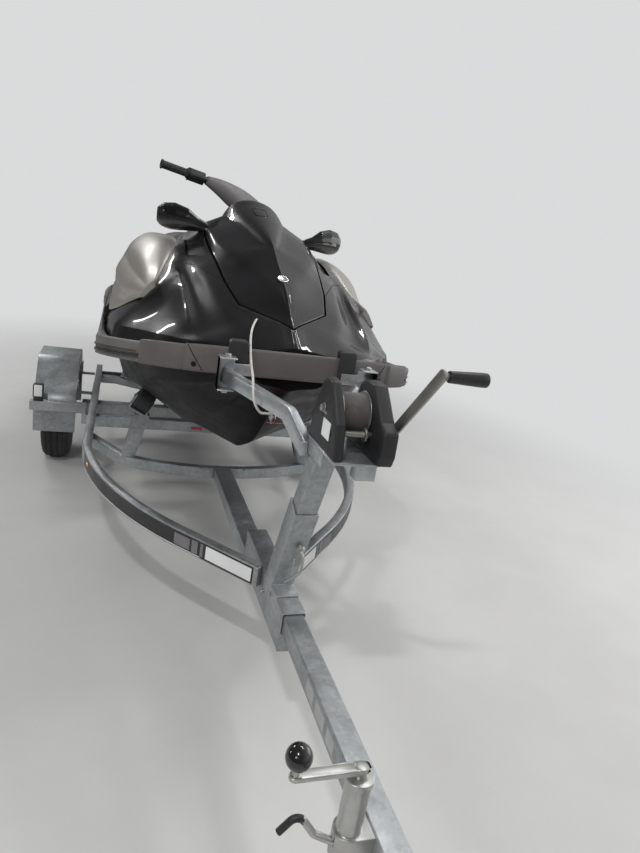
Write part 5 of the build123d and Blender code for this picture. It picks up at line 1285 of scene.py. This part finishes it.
paintFaces(made["jockey_crank"], finishes["knobGloss"],
           lambda p: (p - Vector((-194, -1850, 632))).length < 26)
paintFaces(made["jockey_post"], finishes["plasticBlack"], lambda p: p.x < -160)
paintFaces(made["jockey_wheel"], finishes["plasticBlack"],
           lambda p: Vector((p.y + 1820, p.z - 100)).length < 64)

# Floor and lights: the floor fades into the pale background away from the craft
stageSet = {"shown": (0.70, 0.705, 0.71), "fade": (1.7, 4.4), "oval": (1, 0.6, 1)}
floor = primitive("grid", x_subdivisions=40, y_subdivisions=40, size=80, location=(0, 0, 0))
floor.name = "floor"
floorFinish = finishes["floorPale"]
floorTree = floorFinish.node_tree
distance = linked(floorTree, "ShaderNodeVectorMath")
distance.operation = "LENGTH"
oval = linked(floorTree, "ShaderNodeMapping", Scale=stageSet["oval"])
floorTree.links.new(floorTree.nodes["Texture Coordinate"].outputs["Object"], oval.inputs["Vector"])
floorTree.links.new(oval.outputs["Vector"], distance.inputs["Vector"])
reach = floorTree.nodes.new("ShaderNodeMapRange")
reach.interpolation_type = "SMOOTHSTEP"
reach.inputs["From Min"].default_value, reach.inputs["From Max"].default_value = stageSet["fade"]
floorTree.links.new(distance.outputs["Value"], reach.inputs["Value"])
seen = floorTree.nodes.new("ShaderNodeLightPath")
share = times(floorTree, reach.outputs["Result"], seen.outputs["Is Camera Ray"])
pale = linked(floorTree, "ShaderNodeEmission", Color=(*stageSet["shown"], 1))
fading = mixShaders(floorTree, share, floorTree.nodes["Principled BSDF"].outputs["BSDF"],
                    pale.outputs["Emission"])
floorTree.links.new(fading, floorTree.nodes["Material Output"].inputs["Surface"])
floor.data.materials.append(floorFinish)

lightSet = {
    # name: place, aimed at, size, share of the size across, power
    "key": ((-1.5, -3.2, 4.2), (0, -0.4, 1.0), 0.30, 0.4, 55),
    "tube": ((1.6, 0.6, 4.8), (0, 0.2, 0.6), 3.0, 0.05, 50),
    "tubeLeft": ((-4.6, 0.8, 2.4), (0, 0.2, 0.8), 0.10, 10, 16),
    "tubeFront": ((-3.4, -4.8, 3.4), (0, -0.6, 0.9), 1.6, 0.07, 34),
    "front": ((-3.4, -4.8, 3.0), (0, -0.6, 0.9), 2.2, 0.5, 45),
    "ceiling": ((2.3, 0.4, 4.8), (0, 0.2, 0.6), 2.8, 0.4, 60),
    "fill": ((-4.6, 0.8, 2.8), (0, 0.2, 0.8), 1.8, 0.6, 20),
    "wallSide": ((4.2, -0.4, 2.0), (0, 0, 0.9), 3.4, 0.7, 45),
    "rear": ((-2.4, 4.4, 4.2), (0, 1.0, 0.9), 2.0, 0.08, 60),
}
unmirrored = ("front", "ceiling", "fill")
for name, (place, target, size, across, power) in lightSet.items():
    data = bpy.data.lights.new(name, "AREA")
    data.shape = "RECTANGLE"
    data.size = size
    data.size_y = size * across
    data.energy = power
    lamp = bpy.data.objects.new(name, data)
    bpy.context.scene.collection.objects.link(lamp)
    lamp.location = place
    lamp.rotation_mode = "QUATERNION"
    lamp.rotation_quaternion = (Vector(target) - Vector(place)).to_track_quat("-Z", "Y")
    lamp.visible_glossy = name not in unmirrored

world = bpy.data.worlds.new("studio")
bpy.context.scene.world = world
world.use_nodes = True
worldTree = world.node_tree
background = worldTree.nodes["Background"]
background.inputs["Color"].default_value = (0.80, 0.81, 0.82, 1)
background.inputs["Strength"].default_value = 0.34
shown = linked(worldTree, "ShaderNodeBackground", Color=(*stageSet["shown"], 1), Strength=1.0)
# what glossy surfaces mirror: darker to the left, paler towards the right, as in the photographed hall
mirrored = linked(worldTree, "ShaderNodeBackground", Strength=1.0)
heading = worldTree.nodes.new("ShaderNodeTexCoord")
parts = worldTree.nodes.new("ShaderNodeSeparateXYZ")
worldTree.links.new(heading.outputs["Generated"], parts.inputs["Vector"])
turnedShare = worldTree.nodes.new("ShaderNodeMapRange")
turnedShare.inputs["From Min"].default_value, turnedShare.inputs["From Max"].default_value = (-0.7, 0.8)
worldTree.links.new(parts.outputs["X"], turnedShare.inputs["Value"])
toneStops = [(0.0, (0.07, 0.07, 0.075)), (0.5, (0.13, 0.13, 0.135)), (0.75, (0.40, 0.40, 0.405)),
             (1.0, (0.95, 0.95, 0.96))]
tones = ramp(worldTree, turnedShare.outputs["Result"], toneStops)
worldTree.links.new(tones, mirrored.inputs["Color"])
path = worldTree.nodes.new("ShaderNodeLightPath")
glossyMix = mixShaders(worldTree, path.outputs["Is Glossy Ray"], background.outputs["Background"],
                       mirrored.outputs["Background"])
mixer = mixShaders(worldTree, path.outputs["Is Camera Ray"], glossyMix, shown.outputs["Background"])
worldTree.links.new(mixer, worldTree.nodes["World Output"].inputs["Surface"])
bpy.context.scene.view_settings.view_transform = "Standard"
print("floor and lights set")

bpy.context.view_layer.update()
clearSelection()
